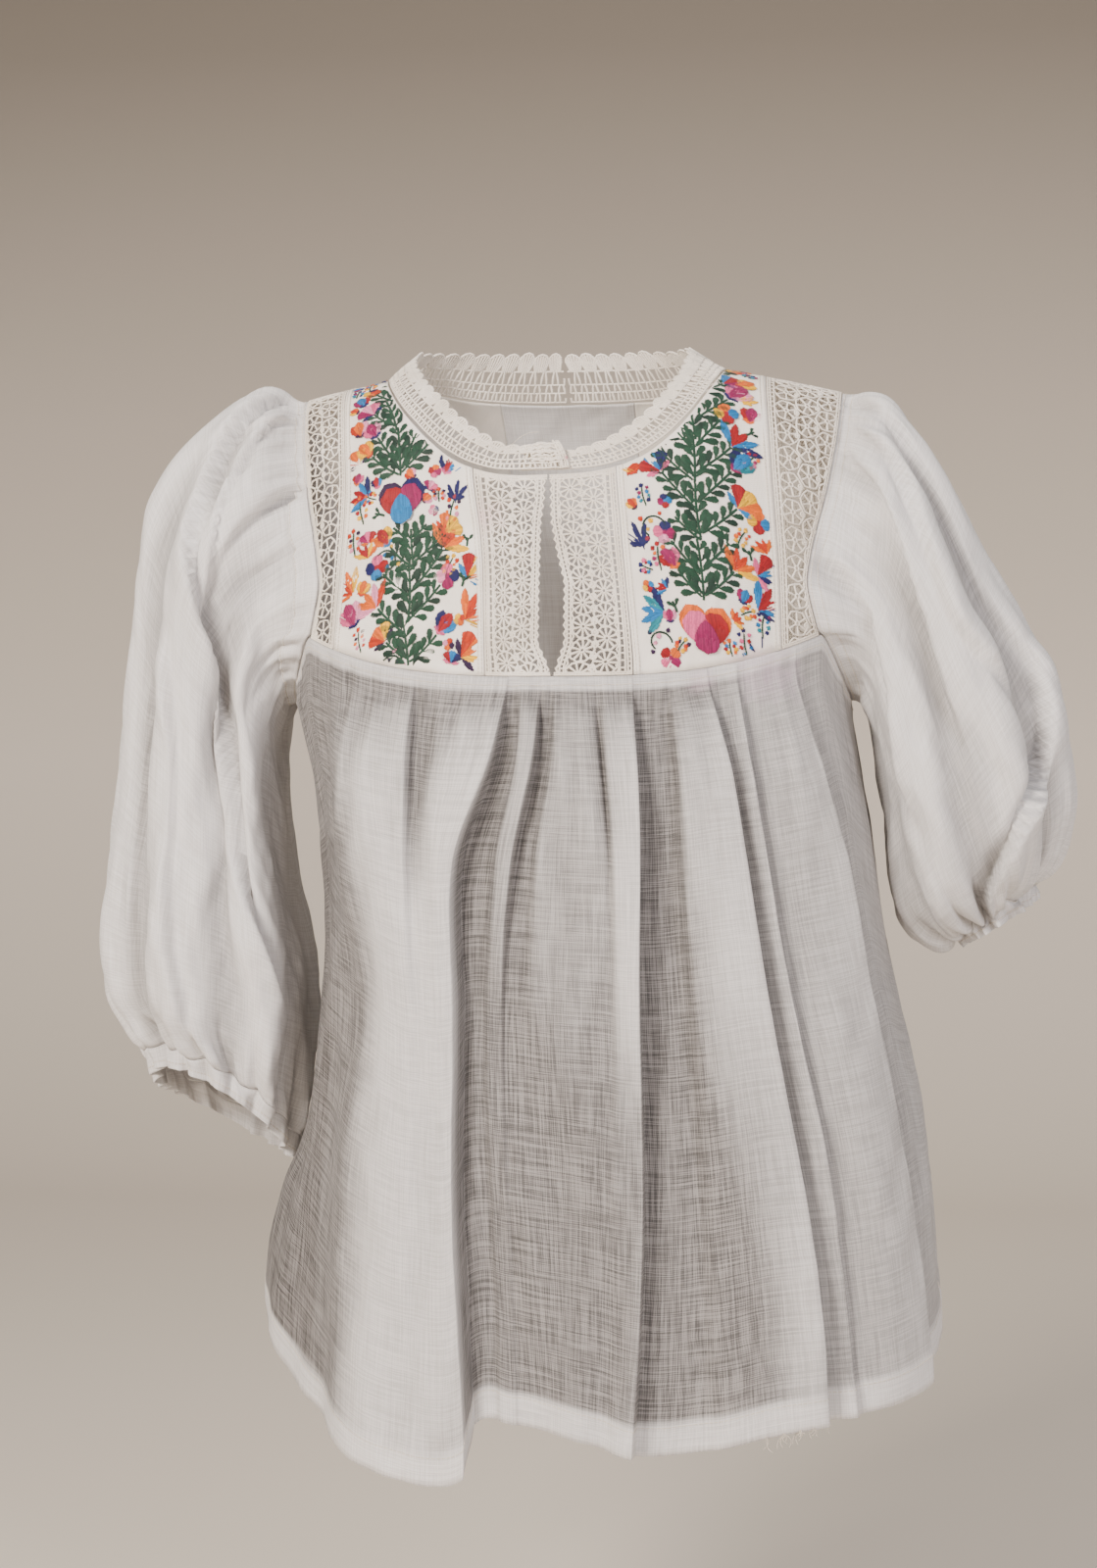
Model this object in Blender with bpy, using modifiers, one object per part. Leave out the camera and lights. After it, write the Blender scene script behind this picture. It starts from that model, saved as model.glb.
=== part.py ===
"""Muslin blouse: an embroidered yoke with crochet strips, a pleated body and puffed sleeves.

Units are metres, +Z is up and the front faces -Y. Left and right are the wearer's, so the
right sleeve is on the -X side. The origin is the middle of the shoulder line, where the
blouse rests on its wearer. Tables are in millimetres and read row by row, from the top down.
Every cloth piece is an open sheet that Solidify thickens inwards.
"""

from math import cos, pi, radians, sin

import bmesh
import bpy
from mathutils import Vector

MM = 0.001
BISECT_STEPS = 40
# Rounds of finding x and height from each other along a slanted edge
EDGE_ROUNDS = 4

# Cloth and seams
WALL = 1.2
SEAM_GAP = 0.3
HALF_GAP = SEAM_GAP / 2

# Torso sections: height, half width, depth in front, depth behind, middle in x
TORSO = (
    (-150, 168, 118, 104, 0),
    (-180, 168, 118, 104, 0),
    (-240, 172, 130, 110, 3),
    (-330, 180, 135, 116, 7),
    (-430, 194, 140, 126, 13),
    (-540, 200, 146, 136, 18),
    (-680, 204, 152, 146, 20),
)
SECTION_POWER = 2.4

# Yoke: a quarter round profile from the shoulder line down to full depth
SHOULDER_HEIGHT = 12.0
SHOULDER_FLAT = 85.0
SHOULDER_FALL = 0.20
YOKE_DROP = 195.0
PROFILE_POWER = 2.6
SEAM_HEIGHT = -178.5
SEAM_RISE = 26.0
YOKE_HALF_WIDTH = 152.0
UNDERARM_HEIGHT = -190.0
YOKE_CORNER = 0.76

# Yoke edges in x at each height: armholes, embroidered panels (outer and inner edge), slit
YOKE_EDGES = (
    # height, armhole right, outer right, inner right, slit right, slit left, inner left,
    # outer left, armhole left
    (12, -165, -138, -52, -3.6, -3.6, 33, 117.4, 165),
    (-30, -161, -131, -50, -3.6, -3.6, 34, 121.2, 161),
    (-60, -156, -127.5, -48, -3.6, -3.6, 35.5, 123.6, 156),
    (-76, -152.5, -127, -45.5, -3.8, -3.4, 37, 124.9, 152.5),
    (-90, -149, -127.3, -43, -5.6, -2.6, 38.5, 126, 149),
    (-107, -145.5, -128.4, -41, -6, 1, 40.2, 127.3, 145.5),
    (-125, -143.8, -129.8, -40, -6.3, 5.6, 42, 128.3, 143.8),
    (-160, -152, -133, -39.3, -6.7, 5.3, 45.5, 129.5, 152),
    (-173, -154, -134, -39, -0.6, 0.6, 46.4, 130, 154),
    (-185, -154, -134, -39, 0, 0, 46.4, 130, 154),
)
ARMHOLE_R, OUTER_R, INNER_R, SLIT_R, SLIT_L, INNER_L, OUTER_L, ARMHOLE_L = range(1, 9)
YOKE_ROWS = 12
EMBROIDERED_COLUMNS = 7
CENTRE_LACE_COLUMNS = 3
BACK_CENTRE_COLUMNS = 6

# Neck opening in plan: middle, half width, depth in front, depth behind, powers right and left
NECK_LOWER = (-8.5, 103.5, 103.5, 52.0, 2.5, 3.0)
NECK_UPPER = (-12.5, 82.5, 98.0, 44.0, 2.0, 3.0)
# Upper edge of the neck band: y in plan, height
NECK_RIM = ((-99, -50), (-95, -42), (-86, -28.5), (-74, -15), (-50, 2.5), (0, 25), (44, 31))
BAND_GAP = 1.1
BAND_STEPS = 22
# The two lengths of the band meet at the centre back and cross by twice this turn in front
BAND_BACK_TURN = 179.9
BAND_LAP_TURN = 4.0
# The lapping end: where it starts to rise, how far it stands forward, how far its corner rises
TAB_TURN = 16.0
TAB_STEEPNESS = 1.6
TAB_LIFT = 2.0
TAB_RISE = 6.0
TAB_FORWARD = Vector((0, -1, 0.2))
# How far the middle of the band bulges, and the upward part of the way that it bulges
BAND_BULGE = 1.2
BULGE_UPWARD = 4.0

# Heights where the fold tables give a place (share of the quarter turn) and a rise in mm
FOLD_HEIGHTS = (-182, -225, -285, -370, -470, -620)
# Front folds from the right side seam to the left one: six places, then six rises
FRONT_FOLDS = (
    (-1, -1, -1, -1, -1, -1, 0, 0, 0, 0, 1, 2),
    (-0.90, -0.90, -0.90, -0.90, -0.90, -0.90, 0, 0, 1, 2, 3, 4),
    (-0.80, -0.80, -0.80, -0.78, -0.78, -0.80, 0, -1, -1, 0, 0, 0),
    (-0.70, -0.68, -0.66, -0.60, -0.64, -0.66, 0, -4, -8, -9, -8, -7),
    (-0.62, -0.60, -0.56, -0.48, -0.53, -0.55, 0, 4, 4, 6, 7, 8),
    (-0.52, -0.50, -0.46, -0.42, -0.44, -0.46, 0, 8, 11, 13, 14, 14),
    (-0.41, -0.40, -0.39, -0.37, -0.38, -0.39, 2, 9, 11, 15, 16, 15),
    (-0.395, -0.385, -0.375, -0.35, -0.36, -0.37, -1, -2, 5, 14, 15, 15),
    (-0.33, -0.34, -0.335, -0.32, -0.32, -0.32, 0, 2, 9, 15, 16, 15),
    (-0.24, -0.26, -0.30, -0.30, -0.30, -0.29, 2, 9, 13, 16, 17, 16),
    (-0.14, -0.175, -0.265, -0.27, -0.28, -0.255, 3, 9, 12, 15, 17, 16),
    (-0.13, -0.165, -0.262, -0.265, -0.275, -0.250, -2, -6, -7, -5, -4, -3),
    (-0.105, -0.12, -0.19, -0.22, -0.22, -0.20, -2, -6, -7, -5, -4, -3),
    (-0.09, -0.10, -0.16, -0.195, -0.20, -0.18, 2, 5, 4, 1, 0, 0),
    (-0.04, -0.06, -0.125, -0.165, -0.17, -0.15, 3, 7, 6, 2, 1, 1),
    (-0.03, -0.05, -0.115, -0.155, -0.16, -0.14, -2, -5, -5, -1, 0, 0),
    (-0.005, -0.025, -0.08, -0.11, -0.12, -0.10, -2, -5, -4, 0, 2, 2),
    (0.01, 0.00, -0.045, -0.07, -0.07, -0.06, 2, 4, 4, 3, 4, 4),
    (0.06, 0.06, 0.05, 0.03, 0.02, 0.00, 3, 5, 6, 6, 6, 6),
    (0.115, 0.12, 0.125, 0.10, 0.07, 0.04, 2, 4, 4, 5, 6, 6),
    (0.13, 0.135, 0.14, 0.12, 0.09, 0.06, -1, -1, 2, 5, 7, 7),
    (0.15, 0.15, 0.155, 0.14, 0.115, 0.085, 2, 6, 8, 9, 10, 10),
    (0.235, 0.225, 0.215, 0.19, 0.17, 0.12, 3, 9, 12, 13, 13, 11),
    (0.245, 0.232, 0.220, 0.197, 0.178, 0.13, -2, -6, -7, -7, -5, -2),
    (0.33, 0.315, 0.305, 0.30, 0.29, 0.27, -2, -6, -8, -8, -6, -4),
    (0.345, 0.335, 0.33, 0.33, 0.33, 0.33, 2, 5, 6, 4, 2, 1),
    (0.435, 0.445, 0.46, 0.48, 0.51, 0.53, 3, 9, 11, 12, 12, 10),
    (0.445, 0.452, 0.467, 0.488, 0.52, 0.545, -2, -4, -6, -6, -6, -5),
    (0.51, 0.50, 0.515, 0.54, 0.575, 0.60, 2, 5, 6, 6, 5, 3),
    (0.52, 0.51, 0.525, 0.55, 0.59, 0.62, -1, -3, -3, -3, -2, -1),
    (0.60, 0.60, 0.61, 0.64, 0.67, 0.70, 2, 4, 5, 6, 6, 6),
    (0.665, 0.68, 0.715, 0.74, 0.77, 0.80, 2, 6, 8, 8, 8, 8),
    (0.675, 0.69, 0.725, 0.75, 0.785, 0.815, -1, -3, -4, -3, -2, -2),
    (0.80, 0.80, 0.82, 0.84, 0.87, 0.89, 0, 2, 3, 4, 4, 4),
    (0.90, 0.90, 0.91, 0.92, 0.94, 0.95, 0, 1, 3, 4, 4, 3),
    (1, 1, 1, 1, 1, 1, 0, 0, 1, 2, 2, 0),
)
# Back folds from the left side seam to the right one, seen from behind
BACK_FOLDS = (
    (-1, -1, -1, -1, -1, -1, 0, 0, 1, 2, 2, 0),
    (-0.88, -0.88, -0.88, -0.89, -0.90, -0.90, 0, 2, 4, 5, 5, 4),
    (-0.72, -0.72, -0.73, -0.74, -0.75, -0.76, 0, -2, -4, -5, -5, -5),
    (-0.61, -0.60, -0.60, -0.60, -0.61, -0.62, 2, 6, 8, 9, 9, 8),
    (-0.53, -0.52, -0.51, -0.50, -0.50, -0.50, 2, 7, 9, 10, 10, 9),
    (-0.52, -0.51, -0.50, -0.49, -0.485, -0.485, -1, -4, -5, -5, -5, -4),
    (-0.43, -0.42, -0.42, -0.41, -0.40, -0.40, -1, -4, -5, -5, -4, -3),
    (-0.34, -0.34, -0.33, -0.33, -0.32, -0.32, 2, 6, 8, 9, 9, 9),
    (-0.26, -0.25, -0.24, -0.23, -0.21, -0.20, 3, 9, 11, 12, 12, 11),
    (-0.25, -0.24, -0.23, -0.22, -0.195, -0.185, -2, -5, -6, -6, -5, -4),
    (-0.14, -0.13, -0.13, -0.12, -0.11, -0.10, -2, -5, -6, -6, -5, -3),
    (-0.05, -0.05, -0.05, -0.05, -0.04, -0.03, 3, 8, 10, 11, 11, 10),
    (0.05, 0.05, 0.05, 0.06, 0.06, 0.07, 3, 8, 10, 11, 11, 10),
    (0.14, 0.14, 0.14, 0.15, 0.15, 0.15, -2, -5, -6, -7, -7, -6),
    (0.24, 0.24, 0.24, 0.24, 0.24, 0.25, -2, -5, -6, -6, -6, -5),
    (0.255, 0.255, 0.26, 0.26, 0.26, 0.27, 2, 6, 8, 9, 9, 8),
    (0.34, 0.34, 0.35, 0.36, 0.37, 0.38, 2, 7, 9, 10, 10, 9),
    (0.43, 0.43, 0.43, 0.44, 0.45, 0.46, -1, -3, -5, -5, -5, -4),
    (0.52, 0.52, 0.53, 0.54, 0.55, 0.56, 2, 6, 8, 9, 9, 8),
    (0.61, 0.61, 0.62, 0.63, 0.65, 0.66, 2, 5, 6, 7, 8, 8),
    (0.71, 0.71, 0.71, 0.72, 0.74, 0.76, -1, -3, -4, -5, -5, -4),
    (0.80, 0.80, 0.80, 0.80, 0.82, 0.84, 0, 0, 0, 1, 1, 1),
    (0.90, 0.90, 0.90, 0.90, 0.91, 0.92, 0, 0, 0, 1, 2, 2),
    (1, 1, 1, 1, 1, 1, 0, 0, 0, 0, 1, 2),
)
# How far the hanging right sleeve presses the side of the body in, at each height
SIDE_DENT = (
    (-190, 0),
    (-240, 12),
    (-300, 21),
    (-370, 25),
    (-430, 24),
    (-458, 19),
    (-480, 11),
    (-510, 4),
    (-540, 0),
)
DENT_START = 0.60
DENT_FULL = 0.82
# Rows of the body panels, as shares of the way from the seam to the hem
PANEL_ROWS = (0, 0.012, 0.05, 0.12, 0.21, 0.31, 0.42, 0.55, 0.70, 0.86, 1)
FOLD_START = (0, 0.10, 1)
WIDEST_GAP = 0.075
# Length of the torso's outline over one quarter turn
QUARTER_GIRTH = 250.0
# Hem height at each share of the turn, right to left: in front and, seen from behind, at the back
FRONT_HEM = (
    (-1, -540),
    (-0.85, -566),
    (-0.7, -596),
    (-0.55, -617),
    (-0.4, -630),
    (-0.255, -627),
    (-0.25, -601),
    (-0.15, -599),
    (0, -606),
    (0.15, -615),
    (0.3, -612),
    (0.45, -602),
    (0.62, -597),
    (0.78, -588),
    (0.9, -572),
    (1, -552),
)
BACK_HEM = ((-1, -552), (-0.8, -588), (-0.5, -618), (0, -628), (0.5, -615), (0.8, -580), (1, -540))

# Sleeve rings: inner x and z, outer x and z, middle y, depth in front, depth behind, then how far
# the front and the back of the ring are lifted. x runs away from the body on both sides.
SLEEVE_RIGHT = (
    (178, -197, 190, -1, 0, 62, 56, 0, 0),
    (181, -208, 213, -11, 0, 66, 60, 0, 0),
    (182, -222, 238, -34, 0, 67, 62, 0, 0),
    (181, -240, 257, -65, 0, 66, 63, 0, 0),
    (179, -268, 266, -106, -2, 62, 62, 0, 0),
    (175, -302, 269, -162, -4, 58, 60, 0, 0),
    (168, -336, 276, -226, -6, 58, 60, 2, 0),
    (163, -366, 284, -290, -6, 60, 60, 6, 0),
    (163, -394, 287, -342, -5, 60, 58, 10, -2),
    (167, -422, 283, -376, -4, 57, 54, 16, -4),
    (171, -443, 271, -396, -4, 50, 48, 22, -6),
    (173, -456, 262, -412, -4, 44, 42, 26, -8),
)
CUFF_RIGHT = (
    (173, -457, 262, -413, -4, 44, 42, 26, -8),
    (174, -463, 260, -419, -4, 45, 43, 27, -8),
    (176, -470, 258, -427, -4, 45, 43, 28, -8),
)
SLEEVE_LEFT = (
    (178, -197, 189, -8, 0, 64, 58, 0, 0),
    (183, -214, 208, -31, 0, 70, 62, 0, 0),
    (187, -238, 229, -64, 0, 74, 66, 0, 0),
    (190, -262, 248, -105, 1, 76, 68, 0, 0),
    (192, -287, 270, -147, 3, 76, 70, 0, 0),
    (195, -310, 291, -191, 6, 72, 70, 0, 0),
    (202, -327, 301, -230, 9, 63, 66, 0, 0),
    (212, -335, 300, -258, 13, 53, 60, 0, 0),
    (223, -336, 291, -283, 17, 43, 52, 0, 4),
    (231, -330, 278, -299, 20, 35, 46, 0, 8),
)
CUFF_LEFT = (
    (232, -331, 278, -300, 20, 35, 46, 0, 8),
    (235, -334, 279, -305, 20, 36, 47, 0, 8),
    (238, -337, 280, -310, 20, 36, 47, 0, 8),
)
RING_POWER = 2.2
RING_POINTS = 36
ARMHOLE_GAP = 0.45
COLLAR_STEP = 3.5
# Share of half the armhole that the yoke takes, from the shoulder down
YOKE_ARMHOLE_SHARE = 0.68
# How the sleeve leaves the armhole: square to its edge at the shoulder, sideways at the underarm
COLLAR_LEAN_POWER = 1.5
COLLAR_SIDEWAYS = 1.5
# Sleeve folds: place round the ring in degrees at the cap, half way and at the cuff, half width
# in degrees, rise at the cap, half way and at the cuff
FOLDS_RIGHT = (
    (20, 25, 30, 13, 5, 6, 3),
    (48, 52, 55, 13, -1, -3, -2),
    (72, 80, 85, 15, 7, 8, 4),
    (100, 108, 110, 11, -4, -7, -3),
    (130, 134, 135, 14, 6, 8, 4),
    (158, 160, 160, 11, 0, -2, -1),
    (200, 200, 200, 13, 4, 5, 3),
    (230, 228, 225, 13, -1, -4, -2),
    (262, 258, 255, 15, 6, 8, 4),
    (292, 290, 288, 13, -1, -3, -2),
    (325, 325, 325, 14, 5, 5, 3),
)
FOLDS_LEFT = (
    (18, 22, 40, 13, 4, 5, 3),
    (46, 45, 62, 12, -6, -7, -3),
    (72, 68, 84, 13, 5, 8, 4),
    (98, 92, 108, 12, -6, -7, -3),
    (124, 118, 130, 14, 4, 6, 4),
    (152, 146, 150, 11, -3, -5, -2),
    (205, 205, 200, 14, 3, 5, 3),
    (238, 236, 230, 13, -5, -6, -3),
    (268, 266, 262, 15, 5, 7, 4),
    (300, 300, 296, 13, -4, -6, -3),
    (332, 330, 328, 12, 3, 5, 3),
)
# A fold's soft spread as a multiple of its half width, and the rings over which folds set in
FOLD_SPREAD = 1.6
FOLD_ONSET_RINGS = 3
CUFF_WAVE = 1.3
CUFF_SEAM_SHARE = 0.05

# Outer lace strips: cells across and down, and the widest cell side that is still cut alone
LACE_CELLS_ACROSS = 7
LACE_CELLS_DOWN = 24
LACE_SINGLE_CELL = 3.6


def lookup(table, column, at):
    """Smooth value of one column of a table at a key that runs up or down through its rows."""
    rows = table if table[0][0] < table[-1][0] else table[::-1]
    keys = [row[0] for row in rows]
    values = [row[column] for row in rows]
    if at <= keys[0]:
        return values[0]
    if at >= keys[-1]:
        return values[-1]
    index = max(i for i in range(len(keys) - 1) if keys[i] <= at)
    span = keys[index + 1] - keys[index]
    share = (at - keys[index]) / span
    slopes = []
    for i in (index, index + 1):
        before = max(i - 1, 0)
        after = min(i + 1, len(keys) - 1)
        slopes.append((values[after] - values[before]) / (keys[after] - keys[before]) * span)
    smooth = share * share * (3 - 2 * share)
    return (
        values[index]
        + (values[index + 1] - values[index]) * smooth
        + slopes[0] * share * (1 - share) ** 2
        - slopes[1] * share * share * (1 - share)
    )


def straight(table, column, at):
    """Straight-line value of one column at a key that falls from row to row."""
    if at >= table[0][0]:
        return table[0][column]
    for upper, lower in zip(table, table[1:]):
        if at >= lower[0]:
            share = (at - upper[0]) / (lower[0] - upper[0])
            return upper[column] + (lower[column] - upper[column]) * share
    return table[-1][column]


def last_before(low, high, holds):
    """The last value between low and high at which holds is still true."""
    for _ in range(BISECT_STEPS):
        between = (low + high) / 2
        if holds(between):
            low = between
        else:
            high = between
    return low


def torso_point(turn, height, behind, rise=0.0):
    """Point of the body at a share of the quarter turn, moved out by rise."""
    half, front, back, middle = (lookup(TORSO, column, height) for column in range(1, 5))
    depth = back if behind else front
    across, ahead = sin(turn * pi / 2), cos(turn * pi / 2)
    reach = (abs(across / half) ** SECTION_POWER + abs(ahead / depth) ** SECTION_POWER) ** (
        -1 / SECTION_POWER
    )
    x, y = reach * across, reach * ahead
    normal = Vector(
        (
            abs(x / half) ** (SECTION_POWER - 1) / half * (1 if x > 0 else -1),
            abs(y / depth) ** (SECTION_POWER - 1) / depth,
        )
    ).normalized()
    x += normal.x * rise
    y += normal.y * rise
    if behind:
        return Vector((middle - x, y, height))
    return Vector((middle + x, -y, height))


def yoke_depth(x, behind):
    """How deep the yoke is at x, below the shoulder's rounding."""
    _, half, front, back, _ = TORSO[0]
    share = min(abs(x) / half, 1)
    return (back if behind else front) * (1 - share**SECTION_POWER) ** (1 / SECTION_POWER)


def shoulder_height(x):
    return SHOULDER_HEIGHT - SHOULDER_FALL * max(0, abs(x) - SHOULDER_FLAT)


def yoke_point(x, bend, behind):
    """Point of the yoke at x; bend is 0 on the shoulder line and a quarter turn at full depth."""
    depth = yoke_depth(x, behind) * sin(bend) ** (2 / PROFILE_POWER)
    height = shoulder_height(x) - YOKE_DROP * (1 - cos(bend) ** (2 / PROFILE_POWER))
    return Vector((x, depth if behind else -depth, height))


def bend_at_depth(x, depth, behind):
    """The bend at which the yoke at x has come this far forward or back."""
    share = min(depth / yoke_depth(x, behind), 1)
    return last_before(0.0, pi / 2, lambda bend: sin(bend) ** (2 / PROFILE_POWER) < share)


def seam_height(x):
    """Height of the seam under the yoke, which rises towards the armholes."""
    return SEAM_HEIGHT + SEAM_RISE * min(abs(x) / YOKE_HALF_WIDTH, 1) ** 3


def inside_neck(point, neck):
    """Whether a point of the yoke lies in the neck opening, in plan."""
    middle, half, front, back, power_right, power_left = neck
    power = power_left if point.x > middle else power_right
    depth = back if point.y > 0 else front
    return abs((point.x - middle) / half) ** power + abs(point.y / depth) ** power < 1


def neck_plan(turn, neck, shrink=0.0):
    """x and y of the neck opening; turn is 0 in front and 180 degrees behind, left positive."""
    middle, half, front, back, power_right, power_left = neck
    power = power_left if turn > 0 else power_right
    across = abs(sin(radians(turn))) ** (2 / power) * (half - shrink)
    ahead = cos(radians(turn))
    depth = (front if ahead > 0 else back) - shrink
    y = -abs(ahead) ** (2 / power) * depth * (1 if ahead > 0 else -1)
    return middle + across * (1 if turn > 0 else -1), y


def make_material(name, colour, roughness):
    material = bpy.data.materials.new(name)
    material.use_nodes = True
    shader = material.node_tree.nodes["Principled BSDF"]
    shader.inputs["Base Color"].default_value = (*colour, 1)
    shader.inputs["Roughness"].default_value = roughness
    shader.inputs["Metallic"].default_value = 0
    return material


def make_sheet(name, rows, material, closed=False, holes=(), flip=False):
    """A cloth piece: a grid of points in mm, thickened inwards. Cells in holes are left out."""
    mesh = bpy.data.meshes.new(name)
    shape = bmesh.new()
    grid = [[shape.verts.new(point * MM) for point in row] for row in rows]
    across = len(rows[0]) if closed else len(rows[0]) - 1
    for down in range(len(rows) - 1):
        for side in range(across):
            if (down, side) in holes:
                continue
            after = (side + 1) % len(rows[0])
            corners = [
                grid[down][side],
                grid[down + 1][side],
                grid[down + 1][after],
                grid[down][after],
            ]
            shape.faces.new(corners[::-1] if flip else corners)
    loose = [vertex for vertex in shape.verts if not vertex.link_faces]
    bmesh.ops.delete(shape, geom=loose, context="VERTS")
    shape.to_mesh(mesh)
    shape.free()
    mesh.materials.append(material)
    mesh.shade_smooth()
    sheet = bpy.data.objects.new(name, mesh)
    blouse.objects.link(sheet)
    wall = sheet.modifiers.new("wall", "SOLIDIFY")
    wall.thickness = WALL * MM
    wall.offset = -1
    return sheet


def yoke_edge(column, height):
    """x of a yoke edge at a height: the slit has corners, the other edges are smooth."""
    read = straight if column in (SLIT_R, SLIT_L) else lookup
    return read(YOKE_EDGES, column, height)


def yoke_column(place, left, right, behind, rows):
    """Points down one column of a yoke panel, at a share of the way between its two edges."""

    def at(bend):
        x = 0.0
        for _ in range(EDGE_ROUNDS):
            height = yoke_point(x, bend, behind).z
            edge = yoke_edge(left, height) + HALF_GAP
            other = yoke_edge(right, height) - HALF_GAP
            x = edge + (other - edge) * place
        return yoke_point(x, bend, behind)

    top = bend_at_depth(at(0).x, HALF_GAP, behind)
    if inside_neck(at(top), NECK_LOWER):
        top = last_before(top, pi / 2, lambda bend: inside_neck(at(bend), NECK_LOWER))

    def above_seam(bend):
        point = at(bend)
        return point.z > seam_height(point.x) + HALF_GAP

    foot = last_before(top, pi / 2, above_seam)
    return [at(top + (foot - top) * row / rows) for row in range(rows + 1)]


def make_yoke_panel(name, left, right, behind, across, rows, material, holes=()):
    """A yoke panel between two edges of the edge table, from the neck or shoulder to the seam."""
    columns = [yoke_column(i / across, left, right, behind, rows) for i in range(across + 1)]
    grid = [[column[row] for column in columns] for row in range(rows + 1)]
    return make_sheet(name, grid, material, holes=holes, flip=behind)


def lace_holes(left, right, behind):
    """Cells of an outer lace strip that are gaps: the largest of each repeat, in brick order."""
    holes = set()
    edges = [yoke_column(place, left, right, behind, LACE_CELLS_DOWN) for place in (0, 1)]
    for down in range(1, LACE_CELLS_DOWN - 1, 2):
        width = (edges[1][down] - edges[0][down]).length / LACE_CELLS_ACROSS
        shift = (down // 2) % 2
        if width > LACE_SINGLE_CELL:
            holes.update((down, side) for side in range(1 + shift, LACE_CELLS_ACROSS - 1, 2))
        else:
            start = 1 + 2 * shift
            holes.update((down, side) for side in (start, start + 1))
    return holes


def body_top(turn, behind):
    """Height of a body panel's upper edge: the yoke seam, then the armhole down to the underarm."""
    if abs(turn) <= YOKE_CORNER:
        return seam_height(torso_point(turn, SEAM_HEIGHT, behind).x) - HALF_GAP
    corner = seam_height(torso_point(YOKE_CORNER, SEAM_HEIGHT, behind).x) - HALF_GAP
    share = (abs(turn) - YOKE_CORNER) / (1 - YOKE_CORNER)
    return corner + (UNDERARM_HEIGHT - corner) * sin(share * pi / 2)


def folded_column(fold, hem, behind):
    """Points down one fold line of a body panel."""
    count = len(FOLD_HEIGHTS)
    places = list(zip(FOLD_HEIGHTS, fold[:count], fold[count:]))
    edge = 1 - HALF_GAP / QUARTER_GIRTH
    pressed = 1 if behind else -1
    top = body_top(fold[0], behind)
    bottom = lookup(hem, 1, fold[count - 1])
    points = []
    for index, share in enumerate(PANEL_ROWS):
        height = top + (bottom - top) * share
        turn = max(-edge, min(edge, lookup(places, 1, height)))
        start = FOLD_START[index] if index < len(FOLD_START) else 1
        near = (turn * pressed - DENT_START) / (DENT_FULL - DENT_START)
        dent = lookup(SIDE_DENT, 1, height) * max(0, min(1, near))
        points.append(torso_point(turn, height, behind, lookup(places, 2, height) * start - dent))
    return points


def filled_out(folds):
    """The fold lines with one more half way across each wide gap."""
    lines = [folds[0]]
    for before, after in zip(folds, folds[1:]):
        if after[0] - before[0] > WIDEST_GAP:
            lines.append([(one + other) / 2 for one, other in zip(before, after)])
        lines.append(after)
    return lines


def make_body_panel(name, folds, hem, behind, material):
    columns = [folded_column(fold, hem, behind) for fold in filled_out(folds)]
    grid = [[column[row] for column in columns] for row in range(len(PANEL_ROWS))]
    return make_sheet(name, grid, material)


def armhole_edge(share, side, behind):
    """A point of the armhole, from the shoulder to the underarm, and the way out over its edge."""
    corner_x = side * YOKE_HALF_WIDTH
    if share <= YOKE_ARMHOLE_SHARE:
        column = ARMHOLE_L if side > 0 else ARMHOLE_R
        foot = last_before(
            0.0, pi / 2, lambda bend: yoke_point(corner_x, bend, behind).z > seam_height(corner_x)
        )
        bend = foot * share / YOKE_ARMHOLE_SHARE
        height = 0.0
        for _ in range(EDGE_ROUNDS):
            x = yoke_edge(column, height)
            height = yoke_point(x, bend, behind).z
        point = yoke_point(x, bend, behind)
        out = (yoke_point(x + side * ARMHOLE_GAP, bend, behind) - point).normalized()
        return point, out
    below = (share - YOKE_ARMHOLE_SHARE) / (1 - YOKE_ARMHOLE_SHARE)
    turn = min(YOKE_CORNER + (1 - YOKE_CORNER) * below, 1)
    seen = turn * (-side if behind else side)
    point = torso_point(seen, body_top(turn, behind), behind)
    return point, Vector((0, 0, 1))


def armhole_rings(side):
    """The first two rings of a sleeve: along the armhole, then a short step out over its edge."""
    first, second = [], []
    half = RING_POINTS // 2
    for index in range(RING_POINTS):
        behind = index > half
        share = (RING_POINTS - index if behind else index) / half
        point, out = armhole_edge(share, side, behind)
        outwards = Vector((side, 0, 0))
        lean = share**COLLAR_LEAN_POWER
        start = point + out * ARMHOLE_GAP
        way = out * (1 - lean) + outwards * lean * COLLAR_SIDEWAYS
        step = way.normalized() * COLLAR_STEP
        first.append(start)
        second.append(start + step)
    return first, second


def fold_rise(angle, along, folds):
    """How far the folds of a sleeve stand out at an angle and a share of its length."""
    rise = 0.0
    for fold in folds:
        stations = ((0, fold[0], fold[4]), (0.5, fold[1], fold[5]), (1, fold[2], fold[6]))
        away = abs((angle - lookup(stations, 1, along) + 180) % 360 - 180)
        spread = fold[3] * FOLD_SPREAD
        if away < spread:
            rise += lookup(stations, 2, along) * cos(away / spread * pi / 2) ** 2
    return rise


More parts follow.
